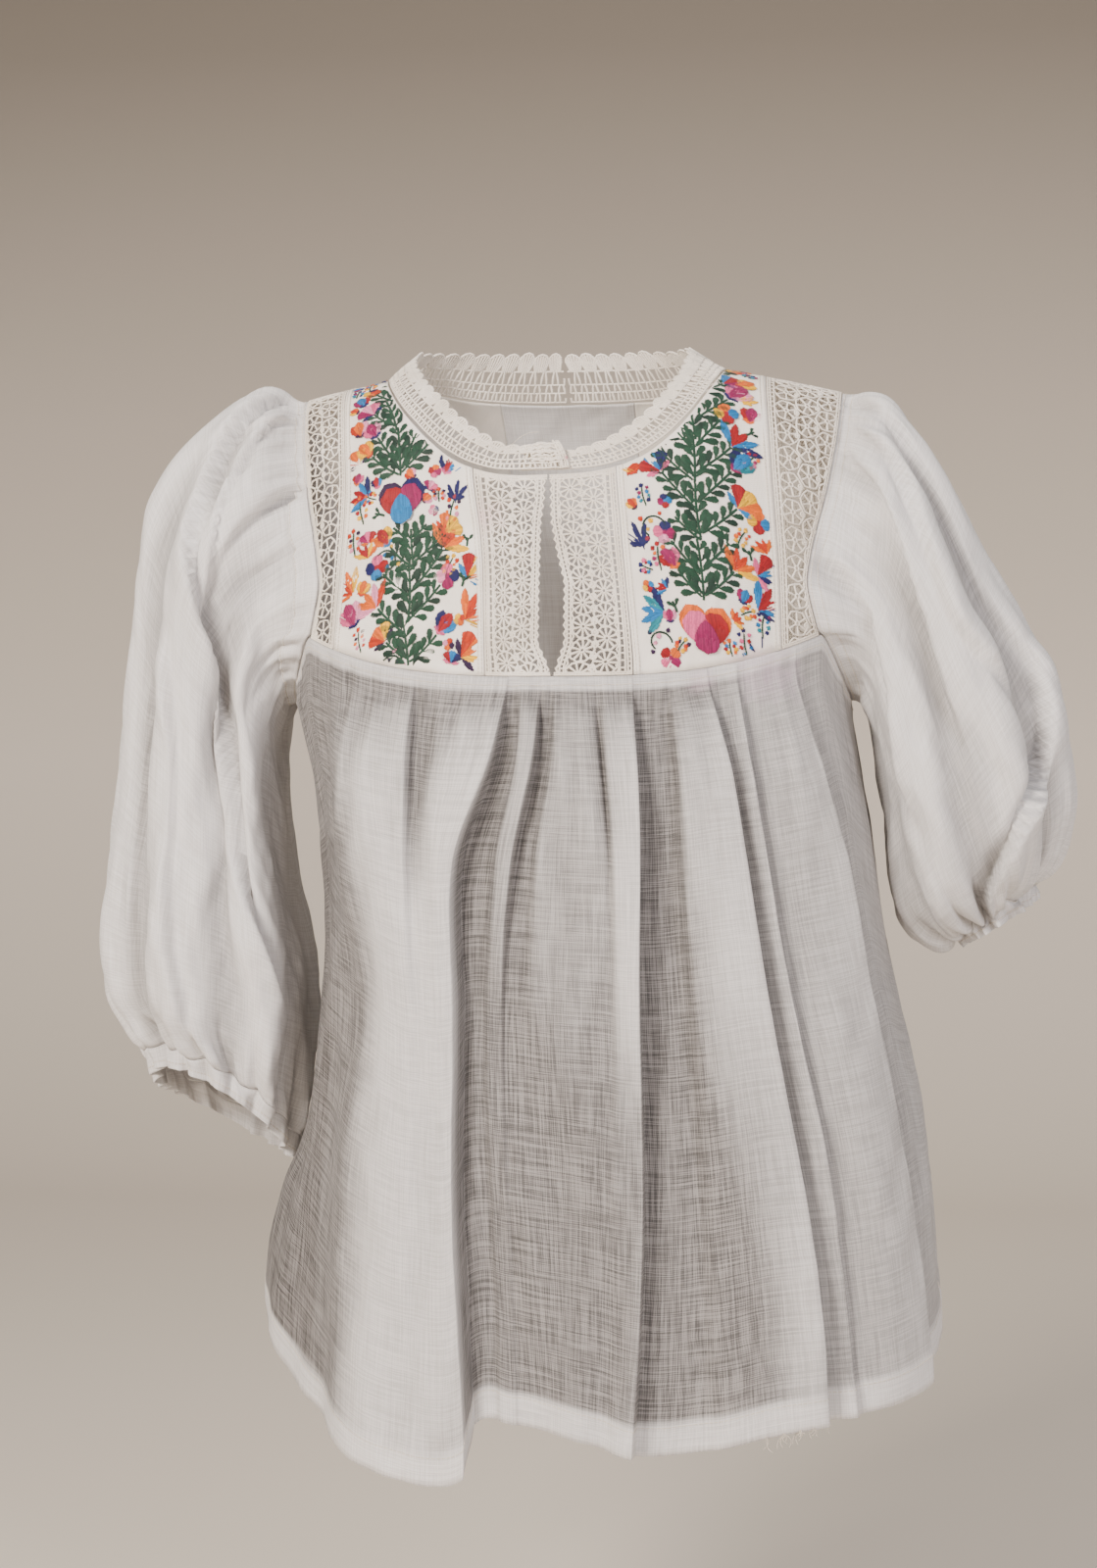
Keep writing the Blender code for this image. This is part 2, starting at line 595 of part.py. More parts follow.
def ring_point(row, angle, side, rise):
    """A point of a sleeve ring: 0 degrees is its outer end, 90 is in front, 180 its inner end."""
    inner_x, inner_z, outer_x, outer_z, middle_y, front, back, lift_front, lift_back = row
    inner, outer = Vector((inner_x, 0, inner_z)), Vector((outer_x, 0, outer_z))
    centre, reach = (inner + outer) / 2, (outer - inner) / 2
    along, ahead = cos(radians(angle)), sin(radians(angle))
    power = 2 / RING_POWER
    along_share = abs(along) ** power * (1 if along > 0 else -1)
    ahead_share = abs(ahead) ** power
    depth = front if ahead > 0 else back
    away = reach.normalized() * along * rise
    point = centre + reach * along_share + away
    point.y = middle_y - (depth * ahead_share + abs(ahead) * rise) * (1 if ahead > 0 else -1)
    point.z += (lift_front if ahead > 0 else lift_back) * ahead_share
    point.x *= side
    return point


def make_sleeve(name, table, folds, side, material):
    rings = list(armhole_rings(side))
    for index, row in enumerate(table):
        along = (index + 1) / len(table)
        ramp = min(1, (index + 1) / FOLD_ONSET_RINGS)
        ring = []
        for step in range(RING_POINTS):
            angle = step * 360 / RING_POINTS
            ring.append(ring_point(row, angle, side, fold_rise(angle, along, folds) * ramp))
        rings.append(ring)
    return make_sheet(name, rings, material, closed=True, flip=side > 0)


def make_cuff(name, table, side, material):
    rings = []
    for index, row in enumerate(table):
        ring = []
        for step in range(RING_POINTS):
            wave = CUFF_WAVE * index * (1 if step % 2 else -1) / 2
            ring.append(ring_point(row, step * 360 / RING_POINTS, side, wave))
        rings.append(ring)
    seam, below = rings[0], rings[1]
    rings[0] = [point + (low - point) * CUFF_SEAM_SHARE for point, low in zip(seam, below)]
    return make_sheet(name, rings, material, closed=True, flip=side > 0)


def band_column(turn, lift, rise):
    """Three points up the neck band at a turn round the neck."""
    lower_x, lower_y = neck_plan(turn, NECK_LOWER, BAND_GAP)
    upper_x, upper_y = neck_plan(turn, NECK_UPPER)
    behind = lower_y > 0
    bend = bend_at_depth(lower_x, abs(lower_y), behind)
    lower = yoke_point(lower_x, bend, behind)
    upper = Vector((upper_x, upper_y, lookup(NECK_RIM, 1, upper_y) + rise))
    middle = (lower + upper) / 2
    outward = Vector((lower_x - upper_x, lower_y - upper_y, BULGE_UPWARD)).normalized()
    middle += outward * BAND_BULGE
    front = TAB_FORWARD * lift
    return [lower + front, middle + front, upper + front]


def make_neck_band(name, start, end, tab, material):
    """A length of the neck band; a tab end lies on top of the other end at the centre front."""
    columns = []
    for step in range(BAND_STEPS + 1):
        turn = start + (end - start) * step / BAND_STEPS
        near = max(0, 1 - abs(turn - end) / TAB_TURN) if tab else 0
        lift = TAB_LIFT * min(1, near * TAB_STEEPNESS)
        columns.append(band_column(turn, lift, TAB_RISE * near))
    grid = [[column[row] for column in columns] for row in (2, 1, 0)]
    return make_sheet(name, grid, material, flip=start > end)


for item in list(bpy.data.objects):
    bpy.data.objects.remove(item, do_unlink=True)

blouse = bpy.data.collections.new("muslin_blouse")
bpy.context.scene.collection.children.link(blouse)

muslin = make_material("muslin", (0.80, 0.79, 0.78), 0.85)
crochet = make_material("crochet_lace", (0.74, 0.71, 0.66), 0.9)
embroidered = make_material("embroidered_muslin", (0.72, 0.70, 0.64), 0.85)

make_body_panel("body_front", FRONT_FOLDS, FRONT_HEM, False, muslin)
make_body_panel("body_back", BACK_FOLDS, BACK_HEM, True, muslin)

lace_size = (CENTRE_LACE_COLUMNS, YOKE_ROWS)
make_yoke_panel("centre_lace_right", INNER_R, SLIT_R, False, *lace_size, crochet)
make_yoke_panel("centre_lace_left", SLIT_L, INNER_L, False, *lace_size, crochet)
make_yoke_panel("yoke_back_centre", INNER_R, INNER_L, True, BACK_CENTRE_COLUMNS, YOKE_ROWS, muslin)
panel_size = (EMBROIDERED_COLUMNS, YOKE_ROWS)
for place, behind in (("front", False), ("back", True)):
    for hand, left, right in (("right", OUTER_R, INNER_R), ("left", INNER_L, OUTER_L)):
        name = f"embroidered_{place}_{hand}"
        make_yoke_panel(name, left, right, behind, *panel_size, embroidered)
    for hand, left, right in (("right", ARMHOLE_R, OUTER_R), ("left", OUTER_L, ARMHOLE_L)):
        make_yoke_panel(
            f"outer_lace_{place}_{hand}",
            left,
            right,
            behind,
            LACE_CELLS_ACROSS,
            LACE_CELLS_DOWN,
            crochet,
            holes=lace_holes(left, right, behind),
        )

make_neck_band("neck_band_right", -BAND_BACK_TURN, BAND_LAP_TURN, True, crochet)
make_neck_band("neck_band_left", BAND_BACK_TURN, -BAND_LAP_TURN, False, crochet)

make_sleeve("sleeve_right", SLEEVE_RIGHT, FOLDS_RIGHT, -1, muslin)
make_sleeve("sleeve_left", SLEEVE_LEFT, FOLDS_LEFT, 1, muslin)
make_cuff("cuff_right", CUFF_RIGHT, -1, muslin)
make_cuff("cuff_left", CUFF_LEFT, 1, muslin)
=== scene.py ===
"""Looks of the muslin blouse: pleated muslin, crochet lace strips and satin stitch flowers.

The frame is in metres, +Z up, the front faces -Y, left and right are the wearer's. Sizes in the
tables are millimetres, with the same forms as the solids, so each piece lies where its solid is.
"""

from math import cos, pi, radians, sin

import bpy
import numpy as np
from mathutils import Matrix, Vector


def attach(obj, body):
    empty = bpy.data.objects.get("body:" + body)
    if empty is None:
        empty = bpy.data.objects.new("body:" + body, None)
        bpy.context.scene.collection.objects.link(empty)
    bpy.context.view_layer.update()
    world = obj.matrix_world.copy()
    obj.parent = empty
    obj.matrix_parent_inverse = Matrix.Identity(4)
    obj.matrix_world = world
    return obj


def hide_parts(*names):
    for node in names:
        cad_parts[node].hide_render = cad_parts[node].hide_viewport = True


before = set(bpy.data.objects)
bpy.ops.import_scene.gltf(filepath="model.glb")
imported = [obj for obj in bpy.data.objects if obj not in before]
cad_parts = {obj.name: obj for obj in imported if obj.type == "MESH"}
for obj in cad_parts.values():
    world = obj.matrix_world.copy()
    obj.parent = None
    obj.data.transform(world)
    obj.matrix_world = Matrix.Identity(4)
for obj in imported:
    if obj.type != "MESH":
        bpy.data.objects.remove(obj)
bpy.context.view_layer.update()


# Studio: a pale sweep of paper that is both floor and backdrop, a large soft lamp to the
# camera's left, a weak one on the right, and the camera at the height of the waist.

MM = 0.001


def linear(hex_colour):
    """An sRGB hex colour as linear RGBA."""
    channels = [int(hex_colour[i : i + 2], 16) / 255 for i in (1, 3, 5)]
    return (*[c / 12.92 if c <= 0.04045 else ((c + 0.055) / 1.055) ** 2.4 for c in channels], 1)


def new_material(name):
    """An empty node material and its Principled shader, joined to the output."""
    material = bpy.data.materials.new(name)
    material.use_nodes = True
    return material, material.node_tree.nodes["Principled BSDF"]


def tree_node(tree, kind, settings=None, **links):
    """Adds a node to a tree. Settings are its attributes; links are sockets to join, or values."""
    node = tree.nodes.new(kind)
    for key, value in (settings or {}).items():
        setattr(node, key, value)
    for key, value in links.items():
        socket = node.inputs[int(key[1:]) if key[1:].isdigit() else key.replace("_", " ")]
        if isinstance(value, bpy.types.NodeSocket):
            tree.links.new(value, socket)
        else:
            socket.default_value = value
    return node


def add_node(material, kind, settings=None, **links):
    """Adds a node to a material, as tree_node does to a tree."""
    return tree_node(material.node_tree, kind, settings, **links)


def finish(material, shader, colour, relief=None, **values):
    """Joins a colour, and a relief where there is one, to a shader and sets its values."""
    material.node_tree.links.new(colour, shader.inputs["Base Color"])
    if relief is not None:
        material.node_tree.links.new(relief, shader.inputs["Normal"])
    for key, value in values.items():
        shader.inputs[key.replace("_", " ")].default_value = value


FLOOR_HEIGHT = -0.86
SWEEP_BACK = 3.3
SWEEP_RADIUS = 0.9
SWEEP_TOP = 2.6
SWEEP_HALF_WIDTH = 3.4

profile = [(-3.2, FLOOR_HEIGHT), (0.0, FLOOR_HEIGHT)]
for step in range(17):
    angle = pi / 2 * step / 16
    profile.append(
        (
            SWEEP_BACK - SWEEP_RADIUS + SWEEP_RADIUS * sin(angle),
            FLOOR_HEIGHT + SWEEP_RADIUS * (1 - cos(angle)),
        )
    )
profile.append((SWEEP_BACK, SWEEP_TOP))
corners = [(side * SWEEP_HALF_WIDTH, y, z) for y, z in profile for side in (-1, 1)]
sweep_mesh = bpy.data.meshes.new("paper_sweep")
sweep_mesh.from_pydata(
    corners, [], [(2 * i, 2 * i + 1, 2 * i + 3, 2 * i + 2) for i in range(len(profile) - 1)]
)
sweep_mesh.shade_smooth()
sweep = bpy.data.objects.new("paper_sweep", sweep_mesh)
bpy.context.scene.collection.objects.link(sweep)
# Matt seamless paper: warm grey, with painted light falloff, paler low down and darker towards the
# top
paper, paper_shader = new_material("seamless_paper")
paper_place = add_node(paper, "ShaderNodeTexCoord")
paper_axes = add_node(paper, "ShaderNodeSeparateXYZ", Vector=paper_place.outputs["Object"])
paper_height = add_node(
    paper, "ShaderNodeMapRange", _0=paper_axes.outputs["Z"], _1=-1.11, _2=1.655
)
paper_tone_and_falloff = add_node(paper, "ShaderNodeValToRGB", Fac=paper_height.outputs[0])
paper_tone_and_falloff.color_ramp.elements[0].color = linear("#E6DBCC")
paper_tone_and_falloff.color_ramp.elements[1].color = linear("#81776C")
for paper_stop, paper_hex in ((0.33, "#EDE2D4"), (0.55, "#D1C6B9"), (0.8, "#9A9084")):
    paper_tone_and_falloff.color_ramp.elements.new(paper_stop).color = linear(paper_hex)
finish(paper, paper_shader, paper_tone_and_falloff.outputs["Color"], Roughness=0.95)
sweep_mesh.materials.append(paper)

CAMERA_TURN = radians(6.5)
CAMERA_DISTANCE = 1.7
CAMERA_ASIDE = -0.0153
CAMERA_HEIGHT = -0.24
# 2833 pixels of focal length over the picture's long side of 1600, on a 36 mm sensor
CAMERA_LENS = 2833 / 1600 * 36
camera_data = bpy.data.cameras.new("camera")
camera_data.sensor_width = 36
camera_data.lens = CAMERA_LENS
camera = bpy.data.objects.new("camera", camera_data)
camera.location = (
    CAMERA_DISTANCE * sin(CAMERA_TURN) + CAMERA_ASIDE * cos(CAMERA_TURN),
    -CAMERA_DISTANCE * cos(CAMERA_TURN) + CAMERA_ASIDE * sin(CAMERA_TURN),
    CAMERA_HEIGHT,
)
camera.rotation_euler = (pi / 2, 0, CAMERA_TURN)
bpy.context.scene.collection.objects.link(camera)
bpy.context.scene.camera = camera

LAMP_AIM = (0, 0, -0.25)
for name, place, size, power, tone in (
    ("key_lamp", (-1.15, -2.3, 0.95), 0.8, 126, "#FFF4EA"),
    ("fill_lamp", (1.7, -2.1, 0.5), 1.4, 44, "#FBF5FA"),
    ("top_lamp", (0.0, 0.3, 2.3), 1.8, 20, "#FFFAF2"),
    ("back_lamp", (1.9, 2.0, 1.5), 1.2, 14, "#FFF8F0"),
):
    lamp_data = bpy.data.lights.new(name, "AREA")
    lamp_data.size = size
    lamp_data.energy = power
    lamp_data.color = linear(tone)[:3]
    lamp = bpy.data.objects.new(name, lamp_data)
    lamp.location = place
    towards = Vector(LAMP_AIM) - Vector(place)
    lamp.rotation_euler = towards.to_track_quat("-Z", "Y").to_euler()
    bpy.context.scene.collection.objects.link(lamp)

world = bpy.data.worlds.new("studio_air")
world.use_nodes = True
world.node_tree.nodes["Background"].inputs["Color"].default_value = linear("#E8E6E3")
world.node_tree.nodes["Background"].inputs["Strength"].default_value = 0.34
bpy.context.scene.world = world


# Body: two panels of thin cotton muslin, each pressed into uneven pleats under the yoke seam
# and falling free to a shirt tail. The pleats are real folds of the sheet, kept from the same
# fold lines as the solids; finer creases are added between them.

WALL = 0.6
SEAM_GAP = 0.3
HALF_GAP = SEAM_GAP / 2

# Torso sections: height, half width, depth in front, depth behind, middle in x
TORSO = (
    (-150, 168, 118, 104, 0),
    (-180, 168, 118, 104, 0),
    (-240, 172, 130, 110, 3),
    (-330, 180, 135, 116, 7),
    (-430, 194, 140, 126, 13),
    (-540, 200, 146, 136, 18),
    (-680, 204, 152, 146, 20),
)
SECTION_POWER = 2.4
SEAM_HEIGHT = -178.5
SEAM_RISE = 26.0
YOKE_HALF_WIDTH = 152.0
UNDERARM_HEIGHT = -190.0
YOKE_CORNER = 0.76

FOLD_HEIGHTS = (-182, -225, -285, -370, -470, -620)
# Front folds from the right side seam to the left one: six places, then six rises
FRONT_FOLDS = (
    (-1, -1, -1, -1, -1, -1, 0, 0, 0, 0, 1, 2),
    (-0.9, -0.9, -0.9, -0.9, -0.9, -0.9, 0, 0, 1, 2, 3, 4),
    (-0.8, -0.8, -0.8, -0.78, -0.78, -0.8, 0, -1, -1, 0, 0, 0),
    (-0.7, -0.68, -0.66, -0.6, -0.64, -0.66, 0, -4, -8, -9, -8, -7),
    (-0.62, -0.6, -0.56, -0.48, -0.53, -0.55, 0, 4, 4, 6, 7, 8),
    (-0.52, -0.5, -0.46, -0.42, -0.44, -0.46, 0, 8, 11, 13, 14, 14),
    (-0.41, -0.4, -0.39, -0.37, -0.38, -0.39, 2, 9, 11, 15, 16, 15),
    (-0.395, -0.385, -0.375, -0.35, -0.36, -0.37, -1, -2, 5, 14, 15, 15),
    (-0.33, -0.34, -0.335, -0.32, -0.32, -0.32, 0, 2, 9, 15, 16, 15),
    (-0.24, -0.26, -0.3, -0.3, -0.3, -0.29, 2, 9, 13, 16, 17, 16),
    (-0.14, -0.175, -0.265, -0.27, -0.28, -0.255, 3, 9, 12, 15, 17, 16),
    (-0.13, -0.165, -0.262, -0.265, -0.275, -0.25, -2, -6, -7, -5, -4, -3),
    (-0.105, -0.12, -0.19, -0.22, -0.22, -0.2, -2, -6, -7, -5, -4, -3),
    (-0.09, -0.1, -0.16, -0.195, -0.2, -0.18, 2, 5, 4, 1, 0, 0),
    (-0.04, -0.06, -0.125, -0.165, -0.17, -0.15, 3, 7, 6, 2, 1, 1),
    (-0.03, -0.05, -0.115, -0.155, -0.16, -0.14, -2, -5, -5, -1, 0, 0),
    (-0.005, -0.025, -0.08, -0.11, -0.12, -0.1, -2, -5, -4, 0, 2, 2),
    (0.01, 0.0, -0.045, -0.07, -0.07, -0.06, 2, 4, 4, 3, 4, 4),
    (0.06, 0.06, 0.05, 0.03, 0.02, 0.0, 3, 5, 6, 6, 6, 6),
    (0.115, 0.12, 0.125, 0.1, 0.07, 0.04, 2, 4, 4, 5, 6, 6),
    (0.13, 0.135, 0.14, 0.12, 0.09, 0.06, -1, -1, 2, 5, 7, 7),
    (0.15, 0.15, 0.155, 0.14, 0.115, 0.085, 2, 6, 8, 9, 10, 10),
    (0.235, 0.225, 0.215, 0.19, 0.17, 0.12, 3, 9, 12, 13, 13, 11),
    (0.245, 0.232, 0.22, 0.197, 0.178, 0.13, -2, -6, -7, -7, -5, -2),
    (0.33, 0.315, 0.305, 0.3, 0.29, 0.27, -2, -6, -8, -8, -6, -4),
    (0.345, 0.335, 0.33, 0.33, 0.33, 0.33, 2, 5, 6, 4, 2, 1),
    (0.435, 0.445, 0.46, 0.48, 0.51, 0.53, 3, 9, 11, 12, 12, 10),
    (0.445, 0.452, 0.467, 0.488, 0.52, 0.545, -2, -4, -6, -6, -6, -5),
    (0.51, 0.5, 0.515, 0.54, 0.575, 0.6, 2, 5, 6, 6, 5, 3),
    (0.52, 0.51, 0.525, 0.55, 0.59, 0.62, -1, -3, -3, -3, -2, -1),
    (0.6, 0.6, 0.61, 0.64, 0.67, 0.7, 2, 4, 5, 6, 6, 6),
    (0.665, 0.68, 0.715, 0.74, 0.77, 0.8, 2, 6, 8, 8, 8, 8),
    (0.675, 0.69, 0.725, 0.75, 0.785, 0.815, -1, -3, -4, -3, -2, -2),
    (0.8, 0.8, 0.82, 0.84, 0.87, 0.89, 0, 2, 3, 4, 4, 4),
    (0.9, 0.9, 0.91, 0.92, 0.94, 0.95, 0, 1, 3, 4, 4, 3),
    (1, 1, 1, 1, 1, 1, 0, 0, 1, 2, 2, 0),
)
# Back folds from the left side seam to the right one, seen from behind
BACK_FOLDS = (
    (-1, -1, -1, -1, -1, -1, 0, 0, 1, 2, 2, 0),
    (-0.88, -0.88, -0.88, -0.89, -0.9, -0.9, 0, 2, 4, 5, 5, 4),
    (-0.72, -0.72, -0.73, -0.74, -0.75, -0.76, 0, -2, -4, -5, -5, -5),
    (-0.61, -0.6, -0.6, -0.6, -0.61, -0.62, 2, 6, 8, 9, 9, 8),
    (-0.53, -0.52, -0.51, -0.5, -0.5, -0.5, 2, 7, 9, 10, 10, 9),
    (-0.52, -0.51, -0.5, -0.49, -0.485, -0.485, -1, -4, -5, -5, -5, -4),
    (-0.43, -0.42, -0.42, -0.41, -0.4, -0.4, -1, -4, -5, -5, -4, -3),
    (-0.34, -0.34, -0.33, -0.33, -0.32, -0.32, 2, 6, 8, 9, 9, 9),
    (-0.26, -0.25, -0.24, -0.23, -0.21, -0.2, 3, 9, 11, 12, 12, 11),
    (-0.25, -0.24, -0.23, -0.22, -0.195, -0.185, -2, -5, -6, -6, -5, -4),
    (-0.14, -0.13, -0.13, -0.12, -0.11, -0.1, -2, -5, -6, -6, -5, -3),
    (-0.05, -0.05, -0.05, -0.05, -0.04, -0.03, 3, 8, 10, 11, 11, 10),
    (0.05, 0.05, 0.05, 0.06, 0.06, 0.07, 3, 8, 10, 11, 11, 10),
    (0.14, 0.14, 0.14, 0.15, 0.15, 0.15, -2, -5, -6, -7, -7, -6),
    (0.24, 0.24, 0.24, 0.24, 0.24, 0.25, -2, -5, -6, -6, -6, -5),
    (0.255, 0.255, 0.26, 0.26, 0.26, 0.27, 2, 6, 8, 9, 9, 8),
    (0.34, 0.34, 0.35, 0.36, 0.37, 0.38, 2, 7, 9, 10, 10, 9),
    (0.43, 0.43, 0.43, 0.44, 0.45, 0.46, -1, -3, -5, -5, -5, -4),
    (0.52, 0.52, 0.53, 0.54, 0.55, 0.56, 2, 6, 8, 9, 9, 8),
    (0.61, 0.61, 0.62, 0.63, 0.65, 0.66, 2, 5, 6, 7, 8, 8),
    (0.71, 0.71, 0.71, 0.72, 0.74, 0.76, -1, -3, -4, -5, -5, -4),
    (0.8, 0.8, 0.8, 0.8, 0.82, 0.84, 0, 0, 0, 1, 1, 1),
    (0.9, 0.9, 0.9, 0.9, 0.91, 0.92, 0, 0, 0, 1, 2, 2),
    (1, 1, 1, 1, 1, 1, 0, 0, 0, 0, 1, 2),
)
# How far the hanging right sleeve presses the side of the body in, at each height
SIDE_DENT = (
    (-190, 0),
    (-240, 12),
    (-300, 21),
    (-370, 25),
    (-430, 24),
    (-458, 19),
    (-480, 11),
    (-510, 4),
    (-540, 0),
)
DENT_START = 0.6
DENT_FULL = 0.82
# Hem height at each share of the turn, right to left: in front and, seen from behind, at the back
FRONT_HEM = (
    (-1, -540),
    (-0.85, -566),
    (-0.7, -596),
    (-0.55, -617),
    (-0.4, -630),
    (-0.255, -627),
    (-0.25, -601),
    (-0.15, -599),
    (0, -606),
    (0.15, -615),
    (0.3, -612),
    (0.45, -602),
    (0.62, -597),
    (0.78, -588),
    (0.9, -572),
    (1, -552),
)
BACK_HEM = ((-1, -552), (-0.8, -588), (-0.5, -618), (0, -628), (0.5, -615), (0.8, -580), (1, -540))
# Pleats are held flat down to the row of stitches, then open over this length
PLEAT_HELD = 8.0
PLEAT_OPENING = 26.0
HELD_SHARE = 0.16
HEM_DEPTH = 17.0
# How far the doubled cloth of the hem and of the band under the seam stands out
HEM_STEP = 0.45
SEAM_STEP = 0.5
FRONT_GRID = (300, 120)
BACK_GRID = (220, 90)


def eased(first, second, slope, next_slope, span, share):
    """A smooth curve from first to second over a span, with a slope at each end."""
    smooth = share * share * (3 - 2 * share)
    return (
        first
        + (second - first) * smooth
        + slope * span * share * (1 - share) ** 2
        - next_slope * span * share * share * (1 - share)
    )


def read(table, column, at):
    """Smooth values of one column of a table at keys in its first column, as the solids read it."""
    rows = np.array(sorted(table), float)
    keys, values = rows[:, 0], rows[:, column]
    last = len(keys) - 1
    index = np.arange(last + 1)
    before, after = np.maximum(index - 1, 0), np.minimum(index + 1, last)
    slopes = (values[after] - values[before]) / (keys[after] - keys[before])
    at = np.clip(at, keys[0], keys[-1])
    low = np.clip(np.searchsorted(keys, at, side="right") - 1, 0, last - 1)
    span = keys[low + 1] - keys[low]
    share = (at - keys[low]) / span
    return eased(values[low], values[low + 1], slopes[low], slopes[low + 1], span, share)


def read_lines(keys, values, at):
    """As read, for a bundle of lines: values[key, line] read at at[row, line]. Keys fall."""
    keys, values = np.array(keys, float)[::-1], values[::-1]
    last = len(keys) - 1
    index = np.arange(last + 1)
    before, after = np.maximum(index - 1, 0), np.minimum(index + 1, last)
    slopes = (values[after] - values[before]) / (keys[after] - keys[before])[:, None]
    at = np.clip(at, keys[0], keys[-1])
    low = np.clip(np.searchsorted(keys, at, side="right") - 1, 0, last - 1)
    line = np.broadcast_to(np.arange(values.shape[1]), at.shape)
    span = keys[low + 1] - keys[low]
    share = (at - keys[low]) / span
    first, second = values[low, line], values[low + 1, line]
    return eased(first, second, slopes[low, line], slopes[low + 1, line], span, share)


def between_lines(values, at):
    """Values between fold lines without overshoot: values[..., line] read at line numbers."""
    step = np.diff(values, axis=-1)
    inner = np.where(
        step[..., 1:] * step[..., :-1] > 0,
        2 * step[..., 1:] * step[..., :-1] / (step[..., 1:] + step[..., :-1] + 1e-12),
        0.0,
    )
    slopes = np.concatenate([step[..., :1], inner, step[..., -1:]], axis=-1)
    low = np.clip(at.astype(int), 0, values.shape[-1] - 2)
    share = at - low
    first, second = values[..., low], values[..., low + 1]
    return eased(first, second, slopes[..., low], slopes[..., low + 1], 1, share)


def waves(seed, count, across, down, across_step, down_step):
    """Soft seeded unevenness: a sum of slanted waves about as long as the two steps, in mm."""
    draw = np.random.default_rng(seed)
    total = np.zeros(np.broadcast(across, down).shape)
    for _ in range(count):
        pace_across = 2 * pi / (across_step * draw.uniform(0.6, 1.7)) * draw.choice((-1, 1))
        pace_down = 2 * pi / (down_step * draw.uniform(0.6, 1.7))
        turn = draw.uniform(0, 2 * pi)
        bend = draw.uniform(0.2, 0.8) * np.sin(across * pace_across * 0.37 + down * pace_down * 0.6)
        total += np.sin(across * pace_across + down * pace_down + turn + bend)
    return total / count**0.5


def torso(turn, height, behind, rise):
    """Points of the body at shares of the quarter turn, moved out by rise."""
    half, front, back, middle = (read(TORSO, column, height) for column in range(1, 5))
    depth = back if behind else front
    across, ahead = np.sin(turn * pi / 2), np.cos(turn * pi / 2)
    reach = (np.abs(across / half) ** SECTION_POWER + np.abs(ahead / depth) ** SECTION_POWER) ** (
        -1 / SECTION_POWER
    )
    x, y = reach * across, reach * ahead
    normal_x = np.abs(x / half) ** (SECTION_POWER - 1) / half * np.sign(x)
    normal_y = np.abs(y / depth) ** (SECTION_POWER - 1) / depth
    length = np.hypot(normal_x, normal_y)
    x = x + normal_x / length * rise
    y = y + normal_y / length * rise
    side = -1 if behind else 1
    return np.stack([middle + side * x, -side * y, np.broadcast_to(height, x.shape)], axis=-1)


def seam_height(x):
    """Height of the seam under the yoke, which rises towards the armholes."""
    return SEAM_HEIGHT + SEAM_RISE * np.minimum(np.abs(x) / YOKE_HALF_WIDTH, 1) ** 3


def body_top(turn, behind):
    """Height of a body panel's upper edge: the yoke seam, then the armhole to the underarm."""
    turn = np.asarray(turn, float)
    level = np.full(turn.shape, SEAM_HEIGHT)
    seam = seam_height(torso(turn, level, behind, 0.0)[..., 0]) - HALF_GAP
    corner_turn = np.array([YOKE_CORNER])
    corner_x = torso(corner_turn, np.array([SEAM_HEIGHT]), behind, 0.0)[0, 0]
    corner = seam_height(corner_x) - HALF_GAP
    share = np.clip((np.abs(turn) - YOKE_CORNER) / (1 - YOKE_CORNER), 0, 1)
    armhole = corner + (UNDERARM_HEIGHT - corner) * np.sin(share * pi / 2)
    return np.where(np.abs(turn) <= YOKE_CORNER, seam, armhole)


def soft_step(low, high, at):
    """0 below low, 1 above high, smooth between."""
    share = np.clip((at - low) / (high - low), 0, 1)
    return share * share * (3 - 2 * share)


def lay_out(points, closed):
    """The cloth's own measures in mm: how far each point is across and down the sheet."""
    around = np.concatenate([points, points[:, :1]], axis=1) if closed else points
    steps_across = np.linalg.norm(np.diff(around, axis=1), axis=2).mean(axis=0)
    steps_down = np.linalg.norm(np.diff(points, axis=0), axis=2).mean(axis=1)
    across = np.concatenate([[0], np.cumsum(steps_across)])
    down = np.concatenate([[0], np.cumsum(steps_down)])
    return across, down


def make_cloth(name, points, material, closed=False, flip=False, tints=None, wall=WALL, keep=None):
    """A sheet from a grid of points in mm, with its cloth map and tints, thickened inwards."""
    rows, columns = points.shape[:2]
    around = columns if closed else columns - 1
    down, side = np.mgrid[0 : rows - 1, 0:around]
    after = (side + 1) % columns
    corners = [(down, side), (down + 1, side), (down + 1, after), (down, after)]
    edges = [(down, side), (down + 1, side), (down + 1, side + 1), (down, side + 1)]
    if flip:
        corners, edges = corners[::-1], edges[::-1]
    faces = np.stack([r * columns + c for r, c in corners], axis=-1).reshape(-1, 4)
    across_at, down_at = lay_out(points, closed)
    cloth_map = np.stack(
        [np.stack([across_at[c], down_at[r]], axis=-1) for r, c in edges], axis=2
    ).reshape(-1, 4, 2)
    if keep is not None:
        chosen = keep[:, :around].reshape(-1)
        faces, cloth_map = faces[chosen], cloth_map[chosen]
    mesh = bpy.data.meshes.new(name)
    mesh.from_pydata((points.reshape(-1, 3) * MM).tolist(), [], faces.tolist())
    cloth = mesh.uv_layers.new(name="cloth")
    cloth.data.foreach_set("uv", (cloth_map * MM).astype(np.float32).ravel())
    for tint, values in (tints or {}).items():
        layer = mesh.attributes.new(tint, "FLOAT", "POINT")
        shades = np.broadcast_to(values, (rows, columns)).astype(np.float32)
        layer.data.foreach_set("value", shades.ravel())
    mesh.materials.append(material)
    mesh.shade_smooth()
    sheet = bpy.data.objects.new(name, mesh)
    bpy.context.scene.collection.objects.link(sheet)
    if wall:
        thick = sheet.modifiers.new("wall", "SOLIDIFY")
        thick.thickness = wall * MM
        thick.offset = -1
    return sheet


